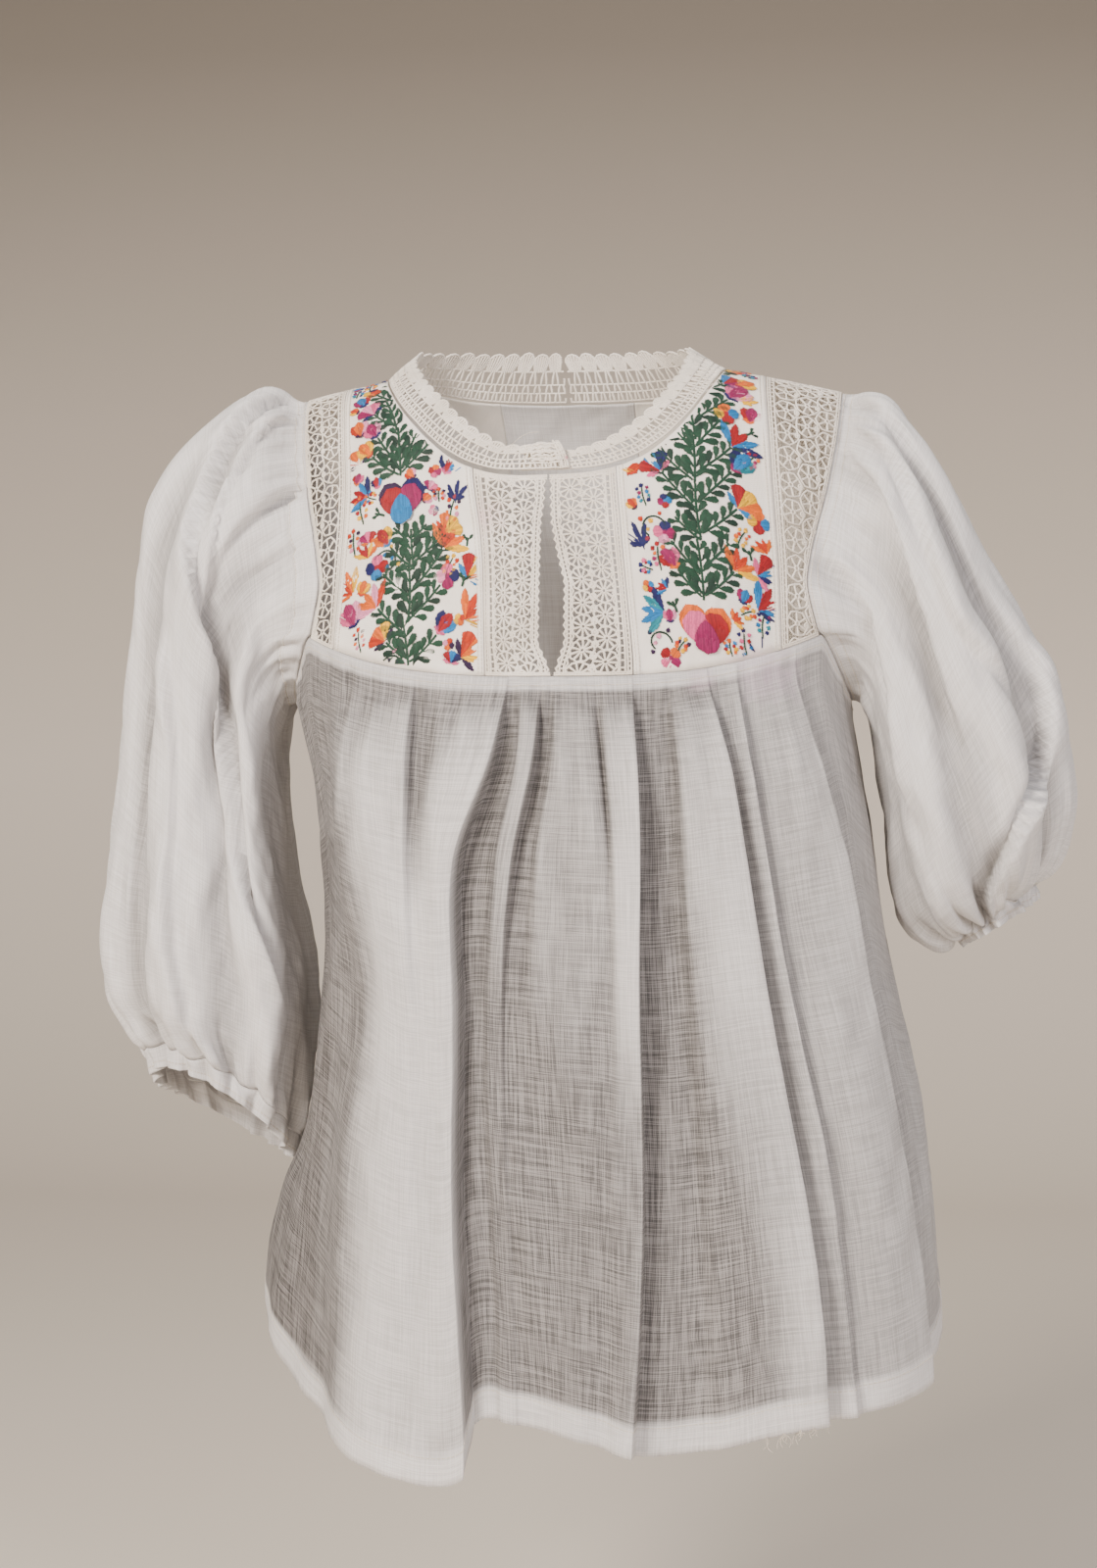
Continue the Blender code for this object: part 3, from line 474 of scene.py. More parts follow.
def body_panel(folds, hem, behind, seed):
    """Grid of points of a body panel, and the painted grey and shade of each, from how high it
    stands on its folds.
    """
    columns, rows = BACK_GRID if behind else FRONT_GRID
    table = np.array(folds, float).T
    count = len(FOLD_HEIGHTS)
    lines = table.shape[1]
    # More columns where the cloth turns steeply: each gap between fold lines has its own share
    at = np.linspace(0, lines - 1, columns)
    places = between_lines(table[:count], at)
    rises = between_lines(table[count:], at)
    top = body_top(places[0], behind)
    bottom = read(hem, 1, places[-1])
    share = np.linspace(0, 1, rows)[:, None] ** 1.12
    height = top + (bottom - top) * share
    edge = 1 - HALF_GAP / 250
    turn = np.clip(read_lines(FOLD_HEIGHTS, places, height), -edge, edge)
    rise = read_lines(FOLD_HEIGHTS, rises, height)
    below = top - height
    girth = turn * 250
    opening = HELD_SHARE + (1 - HELD_SHARE) * soft_step(PLEAT_HELD, PLEAT_OPENING, below)
    opening = opening * soft_step(0, 1.5, below)
    # Gathers: fine creases that start at the stitches and die out down the cloth
    fading = soft_step(0, 7, below) * (1 - soft_step(25, 150, below))
    gathers = 0.9 * waves(seed, 7, girth, below, 13, 260) * fading
    hanging = 1.1 * waves(seed + 1, 8, girth, below, 46, 240) * soft_step(20, 110, below)
    crumple = 0.32 * waves(seed + 2, 12, girth, below, 17, 46) * soft_step(15, 60, below)
    flat_side = 1 - soft_step(0.93, 1.0, np.abs(turn))
    fine = (gathers + hanging + crumple) * flat_side
    pressed = 1 if behind else -1
    near = np.clip((turn * pressed - DENT_START) / (DENT_FULL - DENT_START), 0, 1)
    dent = read(SIDE_DENT, 1, height) * near
    stand = rise * opening
    turned_hem = HEM_STEP * soft_step(HEM_DEPTH + 0.6, HEM_DEPTH - 0.6, height - bottom)
    pleat_end = 1 - soft_step(PLEAT_HELD - 0.8, PLEAT_HELD + 0.8, below)
    seam_band = SEAM_STEP * pleat_end * soft_step(0, 1.5, below)
    fine = fine + turned_hem + seam_band
    sheer_and_shade = body_sheer_and_shade(stand + fine, height, bottom, top, turn, behind)
    return torso(turn, height, behind, stand + fine - dent), sheer_and_shade


def stain(material, colour, spots):
    """The colour with soft marks on it, each with middle and radius in mm, tint and strength."""
    place = add_node(material, "ShaderNodeTexCoord").outputs["Object"]
    ragged = add_node(material, "ShaderNodeTexNoise", Vector=place, Scale=160.0, Detail=3.0)
    for middle, radius, tint, strength in spots:
        away = add_node(
            material,
            "ShaderNodeVectorMath",
            {"operation": "DISTANCE"},
            _0=place,
            _1=tuple(axis * MM for axis in middle),
        )
        edge = add_node(
            material,
            "ShaderNodeMath",
            {"operation": "MULTIPLY_ADD"},
            _0=ragged.outputs["Fac"],
            _1=-1.1 * radius * MM,
            _2=away.outputs["Value"],
        )
        mark = add_node(
            material,
            "ShaderNodeMapRange",
            _0=edge.outputs[0],
            _1=-0.35 * radius * MM,
            _2=0.45 * radius * MM,
            _3=strength,
            _4=0.0,
        )
        mixed = {"_0": mark.outputs[0], "_6": colour, "_7": linear(tint)}
        colour = add_node(material, "ShaderNodeMix", {"data_type": "RGBA"}, **mixed).outputs[2]
    return colour


# Cotton muslin: a thin, open plain weave of uneven threads, washed and lightly pressed. Threads
# lie about 0.45 mm apart in the cloth; they are drawn 1.1 mm apart so that they show. Where one
# layer hangs free it is painted greyer, as if a dark form showed through; low folds and the side
# under the hanging sleeve carry painted shade, and raised or doubled cloth is whiter.
THREAD_STEP = 0.0011
THREAD_WANDER = 1.6
STREAK_FINE, STREAK_LONG = 900.0, 26.0
muslin, muslin_shader = new_material("cotton_muslin")
cloth_place = add_node(muslin, "ShaderNodeUVMap", {"uv_map": "cloth"}).outputs["UV"]
cloth_axes = add_node(muslin, "ShaderNodeSeparateXYZ", Vector=cloth_place)
wander = add_node(
    muslin, "ShaderNodeTexNoise", {"noise_dimensions": "2D"},
    Vector=cloth_place, Scale=90.0, Detail=1.0,
)
weave = None
for axis, stretch in (
    ("X", (STREAK_FINE, STREAK_LONG, 1.0)),
    ("Y", (STREAK_LONG, STREAK_FINE, 1.0)),
):
    wavy = {"_0": wander.outputs["Fac"], "_1": THREAD_STEP * THREAD_WANDER}
    wavy["_2"] = cloth_axes.outputs[axis]
    shifted = add_node(muslin, "ShaderNodeMath", {"operation": "MULTIPLY_ADD"}, **wavy)
    phase = add_node(
        muslin, "ShaderNodeMath", {"operation": "MULTIPLY"},
        _0=shifted.outputs[0], _1=2 * pi / THREAD_STEP,
    )
    thread = add_node(muslin, "ShaderNodeMath", {"operation": "SINE"}, _0=phase.outputs[0])
    drawn = add_node(
        muslin, "ShaderNodeVectorMath", {"operation": "MULTIPLY"}, _0=cloth_place, _1=stretch
    )
    slubs = add_node(
        muslin,
        "ShaderNodeTexNoise",
        {"noise_dimensions": "2D"},
        Vector=drawn.outputs[0],
        Scale=1.0,
        Detail=3.0,
        Roughness=0.65,
    )
    both = add_node(
        muslin,
        "ShaderNodeMath",
        {"operation": "MULTIPLY_ADD"},
        _0=thread.outputs[0],
        _1=0.07,
        _2=slubs.outputs["Fac"],
    )
    if weave is None:
        weave = both
    else:
        weave = add_node(
            muslin, "ShaderNodeMath", {"operation": "ADD"}, _0=weave.outputs[0], _1=both.outputs[0]
        )
closeness = add_node(muslin, "ShaderNodeMapRange", _0=weave.outputs[0], _1=0.78, _2=1.22)
# The tint on each point greys the gaps and threads: painted grey where one layer hangs free,
# painted shade in low folds and under the right sleeve
sheer_and_shade = add_node(muslin, "ShaderNodeAttribute", {"attribute_name": "sheer_and_shade"})
gap_tone = add_node(
    muslin,
    "ShaderNodeMix",
    {"data_type": "RGBA"},
    _0=sheer_and_shade.outputs["Fac"],
    _6=linear("#E3E0DE"),
    _7=linear("#2A2625"),
)
thread_tone = add_node(
    muslin,
    "ShaderNodeMix",
    {"data_type": "RGBA"},
    _0=sheer_and_shade.outputs["Fac"],
    _6=linear("#F7F5F4"),
    _7=linear("#96918E"),
)
muslin_tone = add_node(
    muslin,
    "ShaderNodeMix",
    {"data_type": "RGBA"},
    _0=closeness.outputs[0],
    _6=gap_tone.outputs[2],
    _7=thread_tone.outputs[2],
)
weave_relief = add_node(
    muslin, "ShaderNodeBump", Strength=0.35, Distance=0.0003, Height=weave.outputs[0]
)
# Faint lilac marks from wear under the embroidered panel
muslin_marks = (
    ((118, -84, -176), 26, "#D9BCD2", 0.42),
    ((84, -104, -181), 12, "#E2C3D3", 0.35),
)
# The lilac marks are real stains; the colour they go on already carries the painted grey and shade
muslin_dyed_and_shaded = stain(muslin, muslin_tone.outputs[2], muslin_marks)
muslin_finish = {"Roughness": 0.9, "Specular IOR Level": 0.25}
muslin_finish |= {"Sheen Weight": 0.12, "Sheen Roughness": 0.5}
finish(muslin, muslin_shader, muslin_dyed_and_shaded, weave_relief.outputs["Normal"], **muslin_finish)
glow = add_node(
    muslin,
    "ShaderNodeBsdfTranslucent",
    Color=muslin_dyed_and_shaded,
    Normal=weave_relief.outputs["Normal"],
)
lit_cloth = add_node(
    muslin,
    "ShaderNodeMixShader",
    _0=0.22,
    _1=muslin_shader.outputs["BSDF"],
    _2=glow.outputs["BSDF"],
)
muslin.node_tree.links.new(
    lit_cloth.outputs[0], muslin.node_tree.nodes["Material Output"].inputs["Surface"]
)


# Painted grey and shade of the muslin: how grey one layer that hangs free is, with painted shade
# in its low folds, the painted shadow on the side under the hanging sleeve, and raised cloth as a
# share of the first; then how much whiter the doubled hem and seam band are
ONE_LAYER_AND_SHADE = 0.87
SIDE_LAYER_AND_SHADOW = 0.95
RAISED_SHARE = 0.25
HEM_WHITER = 0.8
SEAM_WHITER = 0.7


def body_sheer_and_shade(stand, height, hem_height, top_height, turn, behind):
    """Painted grey and shade: low folds are painted darker; ridges, the seam band and the hem
    aren't.
    """
    # The middle hangs free of the pleats low down, so there more of it is one layer
    low_down = 1 - soft_step(-480, -330, height)
    free = 0 if behind else np.exp(-(((turn - 0.02) / 0.42) ** 2)) * low_down
    low = 1 - soft_step(9 * free, 12 + 12 * free, stand)
    # Behind, the painted fold shade is weaker and comes and goes in soft bands round the back
    if behind:
        low = low * (0.34 + 0.3 * np.sin(turn * 7 + 1.1) ** 2)
    else:
        # The folds on the wearer's left lie double
        low = low * (1 - 0.45 * soft_step(0.38, 0.55, turn))
    hem_band = soft_step(HEM_DEPTH + 1, HEM_DEPTH - 1, height - hem_height)
    seam_band = 1 - soft_step(PLEAT_HELD - 1, PLEAT_HELD + 1, top_height - height)
    # The side under the hanging sleeve is painted grey, as one layer in the sleeve's shadow
    side = (1 - soft_step(-0.68, -0.6, turn)) * (1 - soft_step(-280, -200, height)) * (not behind)
    grey = ONE_LAYER_AND_SHADE * (RAISED_SHARE + (1 - RAISED_SHARE) * low)
    grey = np.maximum(grey, SIDE_LAYER_AND_SHADOW * side)
    return np.clip(grey * (1 - HEM_WHITER * hem_band) * (1 - SEAM_WHITER * seam_band), 0, 1)


body_grids = {}
for name, folds, hem, behind, seed, cut in (
    ("body_front", FRONT_FOLDS, FRONT_HEM, False, 11, (0.66, 0.47)),
    ("body_back", BACK_FOLDS, BACK_HEM, True, 29, (0.62, 0.47)),
):
    points, sheer_and_shade = body_panel(folds, hem, behind, seed)
    panel = make_cloth(name + "_cloth", points, muslin, tints={"sheer_and_shade": sheer_and_shade})
    body_grids[name] = points
    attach(panel, "root")
    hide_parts(name)


# Yoke: a frame of narrow cream panels over the shoulders, the four embroidered ones of closely
# woven cotton and the plain one behind of muslin, with their long edges folded and stitched.

SHOULDER_HEIGHT = 12.0
SHOULDER_FLAT = 85.0
SHOULDER_FALL = 0.2
YOKE_DROP = 195.0
PROFILE_POWER = 2.6
YOKE_EDGES = (
    # height, armhole right, outer right, inner right, slit right, slit left, inner left,
    # outer left, armhole left
    (12, -165, -138, -52, -3.6, -3.6, 33, 117.4, 165),
    (-30, -161, -131, -50, -3.6, -3.6, 34, 121.2, 161),
    (-60, -156, -127.5, -48, -3.6, -3.6, 35.5, 123.6, 156),
    (-76, -152.5, -127, -45.5, -3.8, -3.4, 37, 124.9, 152.5),
    (-90, -149, -127.3, -43, -5.6, -2.6, 38.5, 126, 149),
    (-107, -145.5, -128.4, -41, -6, 1, 40.2, 127.3, 145.5),
    (-125, -143.8, -129.8, -40, -6.3, 5.6, 42, 128.3, 143.8),
    (-160, -152, -133, -39.3, -6.7, 5.3, 45.5, 129.5, 152),
    (-173, -154, -134, -39, -0.6, 0.6, 46.4, 130, 154),
    (-185, -154, -134, -39, 0, 0, 46.4, 130, 154),
)
ARMHOLE_R, OUTER_R, INNER_R, SLIT_R, SLIT_L, INNER_L, OUTER_L, ARMHOLE_L = range(1, 9)
# Neck opening in plan: middle, half width, depth in front, depth behind, powers right and left
NECK_LOWER = (-8.5, 103.5, 103.5, 52.0, 2.5, 3.0)
HALVINGS = 34


def straight(table, column, at):
    """Straight-line values of one column of a table whose first column falls."""
    rows = np.array(sorted(table), float)
    return np.interp(at, rows[:, 0], rows[:, column])


def yoke_edge(column, height):
    """x of a yoke edge at heights: the slit has corners, the other edges are smooth."""
    return (straight if column in (SLIT_R, SLIT_L) else read)(YOKE_EDGES, column, height)


def yoke_depth(x, behind):
    _, half, front, back, _ = TORSO[0]
    share = np.minimum(np.abs(x) / half, 1)
    return (back if behind else front) * (1 - share**SECTION_POWER) ** (1 / SECTION_POWER)


def yoke_point(x, bend, behind):
    """Points of the yoke at x; bend is 0 on the shoulder line and a quarter turn at full depth."""
    x, bend = np.broadcast_arrays(np.asarray(x, float), np.asarray(bend, float))
    depth = yoke_depth(x, behind) * np.sin(bend) ** (2 / PROFILE_POWER)
    shoulder = SHOULDER_HEIGHT - SHOULDER_FALL * np.maximum(0, np.abs(x) - SHOULDER_FLAT)
    height = shoulder - YOKE_DROP * (1 - np.maximum(np.cos(bend), 0) ** (2 / PROFILE_POWER))
    return np.stack([x, depth if behind else -depth, height], axis=-1)


def halve(low, high, holds):
    """The last values between low and high at which holds is still true, one for each."""
    low, high = np.array(low, float), np.array(high, float)
    for _ in range(HALVINGS):
        between = (low + high) / 2
        held = holds(between)
        low = np.where(held, between, low)
        high = np.where(held, high, between)
    return low


def inside_neck(points, neck):
    """Whether points of the yoke lie in the neck opening, in plan."""
    middle, half, front, back, power_right, power_left = neck
    power = np.where(points[..., 0] > middle, power_left, power_right)
    depth = np.where(points[..., 1] > 0, back, front)
    away = np.abs((points[..., 0] - middle) / half) ** power
    return away + np.abs(points[..., 1] / depth) ** power < 1


class YokePanel:
    """A strip of the yoke between two of its edges, from the neck or shoulder to the seam."""

    def __init__(self, left, right, behind):
        self.left, self.right, self.behind = left, right, behind

    def at(self, place, bend):
        """Points at shares of the width and bends over the shoulder."""
        x = np.zeros(np.broadcast(place, bend).shape)
        for _ in range(4):
            height = yoke_point(x, bend, self.behind)[..., 2]
            edge = yoke_edge(self.left, height) + HALF_GAP
            other = yoke_edge(self.right, height) - HALF_GAP
            x = edge + (other - edge) * place
        return yoke_point(x, bend, self.behind)

    def ends(self, place):
        """The bends at which the strip starts and ends, for shares of its width."""
        place = np.asarray(place, float)
        start = np.full(place.shape, 0.0)
        quarter = np.full(place.shape, pi / 2)
        first = self.at(place, start)
        depth = yoke_depth(first[..., 0], self.behind)
        start = np.arcsin(np.minimum(HALF_GAP / depth, 1) ** (PROFILE_POWER / 2))
        neck = halve(start, quarter, lambda bend: inside_neck(self.at(place, bend), NECK_LOWER))
        top = np.where(inside_neck(self.at(place, start), NECK_LOWER), neck, start)

        def above_seam(bend):
            point = self.at(place, bend)
            return point[..., 2] > seam_height(point[..., 0]) + HALF_GAP

        return top, halve(top, quarter, above_seam)

    def grid(self, places, rows):
        """Points of the strip: one column for each share of the width."""
        top, foot = self.ends(places)
        share = np.linspace(0, 1, rows)[:, None]
        return self.at(places[None, :], top + (foot - top) * share)


# Cream cotton ground: a closer plain weave than the muslin, matt, a little yellower
ground, ground_shader = new_material("cream_cotton_ground")
ground_place = add_node(ground, "ShaderNodeUVMap", {"uv_map": "cloth"}).outputs["UV"]
GROUND_STEP = 0.0009
ground_weave = None
for direction in ("X", "Y"):
    bands = add_node(
        ground,
        "ShaderNodeTexWave",
        {"wave_type": "BANDS", "bands_direction": direction},
        Vector=ground_place,
        Scale=2 * pi / (20 * GROUND_STEP),
        Distortion=1.2,
        Detail=2.0,
        Detail_Scale=0.4,
    )
    if ground_weave is None:
        ground_weave = bands
    else:
        ground_weave = add_node(
            ground,
            "ShaderNodeMath",
            {"operation": "ADD"},
            _0=ground_weave.outputs["Fac"],
            _1=bands.outputs["Fac"],
        )
ground_mottle = add_node(
    ground, "ShaderNodeTexNoise", {"noise_dimensions": "2D"},
    Vector=ground_place, Scale=38.0, Detail=4.0,
)
ground_mix = add_node(
    ground,
    "ShaderNodeMath",
    {"operation": "MULTIPLY_ADD"},
    _0=ground_weave.outputs[0],
    _1=0.2,
    _2=ground_mottle.outputs["Fac"],
)
ground_share = add_node(ground, "ShaderNodeMapRange", _0=ground_mix.outputs[0], _1=0.4, _2=1.0)
ground_tone = add_node(
    ground,
    "ShaderNodeMix",
    {"data_type": "RGBA"},
    _0=ground_share.outputs[0],
    _6=linear("#E9E1D5"),
    _7=linear("#F8F3EB"),
)
ground_relief = add_node(
    ground, "ShaderNodeBump", Strength=0.25, Distance=0.0002, Height=ground_weave.outputs[0]
)
# Dye from the floss has run a little into the cloth
ground_marks = (((108, -94, -166), 20, "#E3BFD0", 0.4),)
ground_dyed = stain(ground, ground_tone.outputs[2], ground_marks)
ground_finish = {"Roughness": 0.9, "Specular IOR Level": 0.25}
finish(ground, ground_shader, ground_dyed, ground_relief.outputs["Normal"], **ground_finish)

PANEL_ROWS = 70
# A folded edge: how wide it is, and how far the doubled cloth stands up
EDGE_FOLD = 4.0
EDGE_RISE = 0.5


def outward(points, behind):
    """Unit normals of a grid of points, away from the body."""
    down = np.gradient(points, axis=0)
    across = np.gradient(points, axis=1)
    normal = np.cross(down, across)
    normal /= np.linalg.norm(normal, axis=2, keepdims=True)
    return -normal if behind else normal


def folded_strip(strip, columns, rows, seed, pucker):
    """A yoke strip whose two long edges are folded under, with a slight pucker between them."""
    places = np.linspace(0, 1, columns)
    points = strip.grid(places, rows)
    across, down = lay_out(points, False)
    width = across[-1]
    from_edge = np.minimum(across, width - across)[None, :]
    fold = EDGE_RISE * (1 - soft_step(EDGE_FOLD - 0.8, EDGE_FOLD + 0.8, from_edge))
    uneven = pucker * waves(seed, 9, across[None, :], down[:, None], 26, 34)
    inner = soft_step(0, 6, from_edge)
    return points + outward(points, strip.behind) * (fold + uneven * inner)[..., None]


strips = {}
for name, left, right, behind, columns, seed, cut in (
    ("embroidered_front_right", OUTER_R, INNER_R, False, 60, 41, (0.097, 0.22)),
    ("embroidered_front_left", INNER_L, OUTER_L, False, 60, 42, (0.097, 0.22)),
    ("embroidered_back_right", OUTER_R, INNER_R, True, 60, 43, (0.1, 0.23)),
    ("embroidered_back_left", INNER_L, OUTER_L, True, 60, 44, (0.1, 0.23)),
    ("yoke_back_centre", INNER_R, INNER_L, True, 60, 45, (0.1, 0.19)),
):
    strip = YokePanel(left, right, behind)
    strips[name] = strip
    grid = folded_strip(strip, columns, PANEL_ROWS, seed, 0.35)
    plain = name == "yoke_back_centre"
    panel = make_cloth(
        name + "_cloth", grid, muslin if plain else ground, flip=behind, tints={"sheer_and_shade": 0.0}
    )
    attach(panel, "root")
    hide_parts(name)


# Sleeves: full puffed sleeves of the same muslin, pleated into the armhole over a narrow turned
# band and gathered into the cuff. The right one hangs, the left one is bent back.

# Sleeve rings: inner x and z, outer x and z, middle y, depth in front, depth behind, then how
# far the front and the back of the ring are lifted. x runs away from the body on both sides.
SLEEVE_RIGHT = (
    (178, -197, 190, -1, 0, 62, 56, 0, 0),
    (181, -208, 213, -11, 0, 66, 60, 0, 0),
    (182, -222, 238, -34, 0, 67, 62, 0, 0),
    (181, -240, 257, -65, 0, 66, 63, 0, 0),
    (179, -268, 266, -106, -2, 62, 62, 0, 0),
    (175, -302, 269, -162, -4, 58, 60, 0, 0),
    (168, -336, 276, -226, -6, 58, 60, 2, 0),
    (163, -366, 284, -290, -6, 60, 60, 6, 0),
    (163, -394, 287, -342, -5, 60, 58, 10, -2),
    (167, -422, 283, -376, -4, 57, 54, 16, -4),
    (171, -443, 271, -396, -4, 50, 48, 22, -6),
    (173, -456, 262, -412, -4, 44, 42, 26, -8),
)
CUFF_RIGHT = (
    (173, -457, 262, -413, -4, 44, 42, 26, -8),
    (174, -463, 260, -419, -4, 45, 43, 27, -8),
    (176, -470, 258, -427, -4, 45, 43, 28, -8),
)
SLEEVE_LEFT = (
    (178, -197, 189, -8, 0, 64, 58, 0, 0),
    (183, -214, 208, -31, 0, 70, 62, 0, 0),
    (187, -238, 229, -64, 0, 74, 66, 0, 0),
    (190, -262, 248, -105, 1, 76, 68, 0, 0),
    (192, -287, 270, -147, 3, 76, 70, 0, 0),
    (195, -310, 291, -191, 6, 72, 70, 0, 0),
    (202, -327, 301, -230, 9, 63, 66, 0, 0),
    (212, -335, 300, -258, 13, 53, 60, 0, 0),
    (223, -336, 291, -283, 17, 43, 52, 0, 4),
    (231, -330, 278, -299, 20, 35, 46, 0, 8),
)
CUFF_LEFT = (
    (232, -331, 278, -300, 20, 35, 46, 0, 8),
    (235, -334, 279, -305, 20, 36, 47, 0, 8),
    (238, -337, 280, -310, 20, 36, 47, 0, 8),
)
RING_POWER = 2.2
RING_COLUMNS = 216
RINGS_BETWEEN = 9
ARMHOLE_GAP = 0.45
COLLAR_STEP = 3.5
YOKE_ARMHOLE_SHARE = 0.68
COLLAR_LEAN_POWER = 1.5
COLLAR_SIDEWAYS = 1.5
# Sleeve folds: place round the ring in degrees at the cap, half way and at the cuff, half width
# in degrees, rise at the cap, half way and at the cuff
FOLDS_RIGHT = (
    (20, 25, 30, 13, 4, 6, 3),
    (48, 52, 55, 13, -5, -6, -3),
    (72, 80, 85, 15, 6, 8, 4),
    (100, 108, 110, 11, -8, -10, -4),
    (130, 134, 135, 14, 5, 8, 4),
    (158, 160, 160, 11, -3, -4, -2),
    (200, 200, 200, 13, 3, 5, 3),
    (230, 228, 225, 13, -5, -7, -3),
    (262, 258, 255, 15, 5, 8, 4),
    (292, 290, 288, 13, -5, -6, -3),
    (325, 325, 325, 14, 4, 5, 3),
)
FOLDS_LEFT = (
    (18, 22, 40, 13, 4, 5, 3),
    (46, 45, 62, 12, -6, -7, -3),
    (72, 68, 84, 13, 5, 8, 4),
    (98, 92, 108, 12, -6, -7, -3),
    (124, 118, 130, 14, 4, 6, 4),
    (152, 146, 150, 11, -3, -5, -2),
    (205, 205, 200, 14, 3, 5, 3),
    (238, 236, 230, 13, -5, -6, -3),
    (268, 266, 262, 15, 5, 7, 4),
    (300, 300, 296, 13, -4, -6, -3),
    (332, 330, 328, 12, 3, 5, 3),
)
FOLD_SPREAD = 1.6
FOLD_ONSET_RINGS = 3
# Crisp drapes of the sleeves. Each has the height of its ridge, the depth of the valley beside it
# and the ridge's width in mm, then how far along the sleeve its edge is and its place in degrees.
DRAPES_RIGHT = (
    (8, 8, 30, (0.04, 12), (0.09, 30), (0.14, 52), (0.2, 76), (0.27, 102), (0.36, 116), (0.56, 122),
     (0.81, 144)),
    (4, 4, 16, (0.03, 30), (0.09, 52), (0.15, 78), (0.21, 90), (0.32, 98)),
    (5, 5, 14, (0.0, 76), (0.05, 78), (0.12, 82), (0.2, 90)),
    (5, 3, 22, (0.34, 74), (0.52, 80), (0.68, 80), (0.85, 86), (0.98, 94)),
    (4, 4, 20, (0.45, 46), (0.65, 50), (0.85, 52), (0.98, 50)),
    (4, 4, 22, (0.02, 300), (0.2, 296), (0.5, 290), (0.85, 286)),
    (5, 4, 24, (0.05, 262), (0.3, 256), (0.6, 250), (0.95, 246)),
    (4, 4, 20, (0.03, 226), (0.3, 224), (0.7, 220), (0.98, 216)),
)
DRAPES_LEFT = (
    (6, 6, 22, (0.02, 60), (0.09, 69), (0.18, 76), (0.29, 82), (0.49, 86), (0.62, 88)),
    (5, 5, 20, (0.04, 46), (0.17, 57), (0.25, 65), (0.34, 70), (0.46, 68), (0.66, 50)),
    (5, 5, 16, (0.0, 96), (0.08, 108), (0.18, 118), (0.34, 126), (0.55, 132)),
    (4, 4, 18, (0.02, 26), (0.2, 34), (0.45, 36), (0.7, 24)),
    (8, 8, 24, (0.6, 28), (0.74, 42), (0.82, 78), (0.9, 96), (0.99, 112)),
    (4, 4, 22, (0.02, 300), (0.25, 296), (0.6, 290), (0.95, 284)),
    (5, 4, 24, (0.05, 258), (0.35, 252), (0.95, 240)),
    (4, 4, 20, (0.03, 222), (0.35, 220), (0.95, 216)),
)
DRAPE_EDGE = 3.0
CUFF_PUCKER = 10.5
# Fine unevenness of the sleeves in mm: gathers at the armhole and at the cuff, slack folds and
# crumples, each with the length of its waves round the sleeve and down it
ARMHOLE_GATHERS = 1.1
CUFF_GATHERS = 1.7
GATHER_LENGTHS = (12, 220)
SLACK = 1.7
SLACK_LENGTHS = (44, 170)
CRUMPLE = 0.35
CRUMPLE_LENGTHS = (17, 40)


def armhole_points(shares, side, behind):
    """Points of the armhole from the shoulder to the underarm, and the way out over its edge."""
    corner_x = side * YOKE_HALF_WIDTH
    corner_z = seam_height(corner_x)
    foot = halve(0.0, pi / 2, lambda bend: yoke_point(corner_x, bend, behind)[..., 2] > corner_z)
    column = ARMHOLE_L if side > 0 else ARMHOLE_R
    on_yoke = shares <= YOKE_ARMHOLE_SHARE
    bend = foot * np.minimum(shares / YOKE_ARMHOLE_SHARE, 1)
    height = np.zeros(shares.shape)
    for _ in range(4):
        x = yoke_edge(column, height)
        height = yoke_point(x, bend, behind)[..., 2]
    yoke_side = yoke_point(x, bend, behind)
    way = yoke_point(x + side * ARMHOLE_GAP, bend, behind) - yoke_side
    way /= np.linalg.norm(way, axis=1, keepdims=True)
    below = np.clip((shares - YOKE_ARMHOLE_SHARE) / (1 - YOKE_ARMHOLE_SHARE), 0, 1)
    turn = np.minimum(YOKE_CORNER + (1 - YOKE_CORNER) * below, 1)
    level = body_top(turn, behind)
    body_side = torso(turn * (-side if behind else side), level, behind, 0.0)
    points = np.where(on_yoke[:, None], yoke_side, body_side)
    return points, np.where(on_yoke[:, None], way, np.array([0.0, 0.0, 1.0]))


def armhole_rings(side, angles):
    """The first two rings of a sleeve: along the armhole, then a step out over its edge."""
    behind = angles > 180
    shares = np.where(behind, 360 - angles, angles) / 180
    front, front_way = armhole_points(shares, side, False)
    back, back_way = armhole_points(shares, side, True)
    points = np.where(behind[:, None], back, front)
    way = np.where(behind[:, None], back_way, front_way)
    lean = (shares**COLLAR_LEAN_POWER)[:, None]
    step = way * (1 - lean) + np.array([side, 0.0, 0.0]) * lean * COLLAR_SIDEWAYS
    step *= COLLAR_STEP / np.linalg.norm(step, axis=1, keepdims=True)
    start = points + way * ARMHOLE_GAP
    return start, start + step


def fold_rise(angles, along, folds):
    """How far the folds of a sleeve stand out at angles and one share of its length."""
    rise = np.zeros(angles.shape)
    for place_cap, place_middle, place_cuff, width, cap, middle, cuff in folds:
        stations = ((0, place_cap, cap), (0.5, place_middle, middle), (1, place_cuff, cuff))
        away = np.abs((angles - read(stations, 1, along) + 180) % 360 - 180)
        spread = width * FOLD_SPREAD
        bump = read(stations, 2, along) * np.cos(np.minimum(away / spread, 1) * pi / 2) ** 2
        rise += bump
    return rise


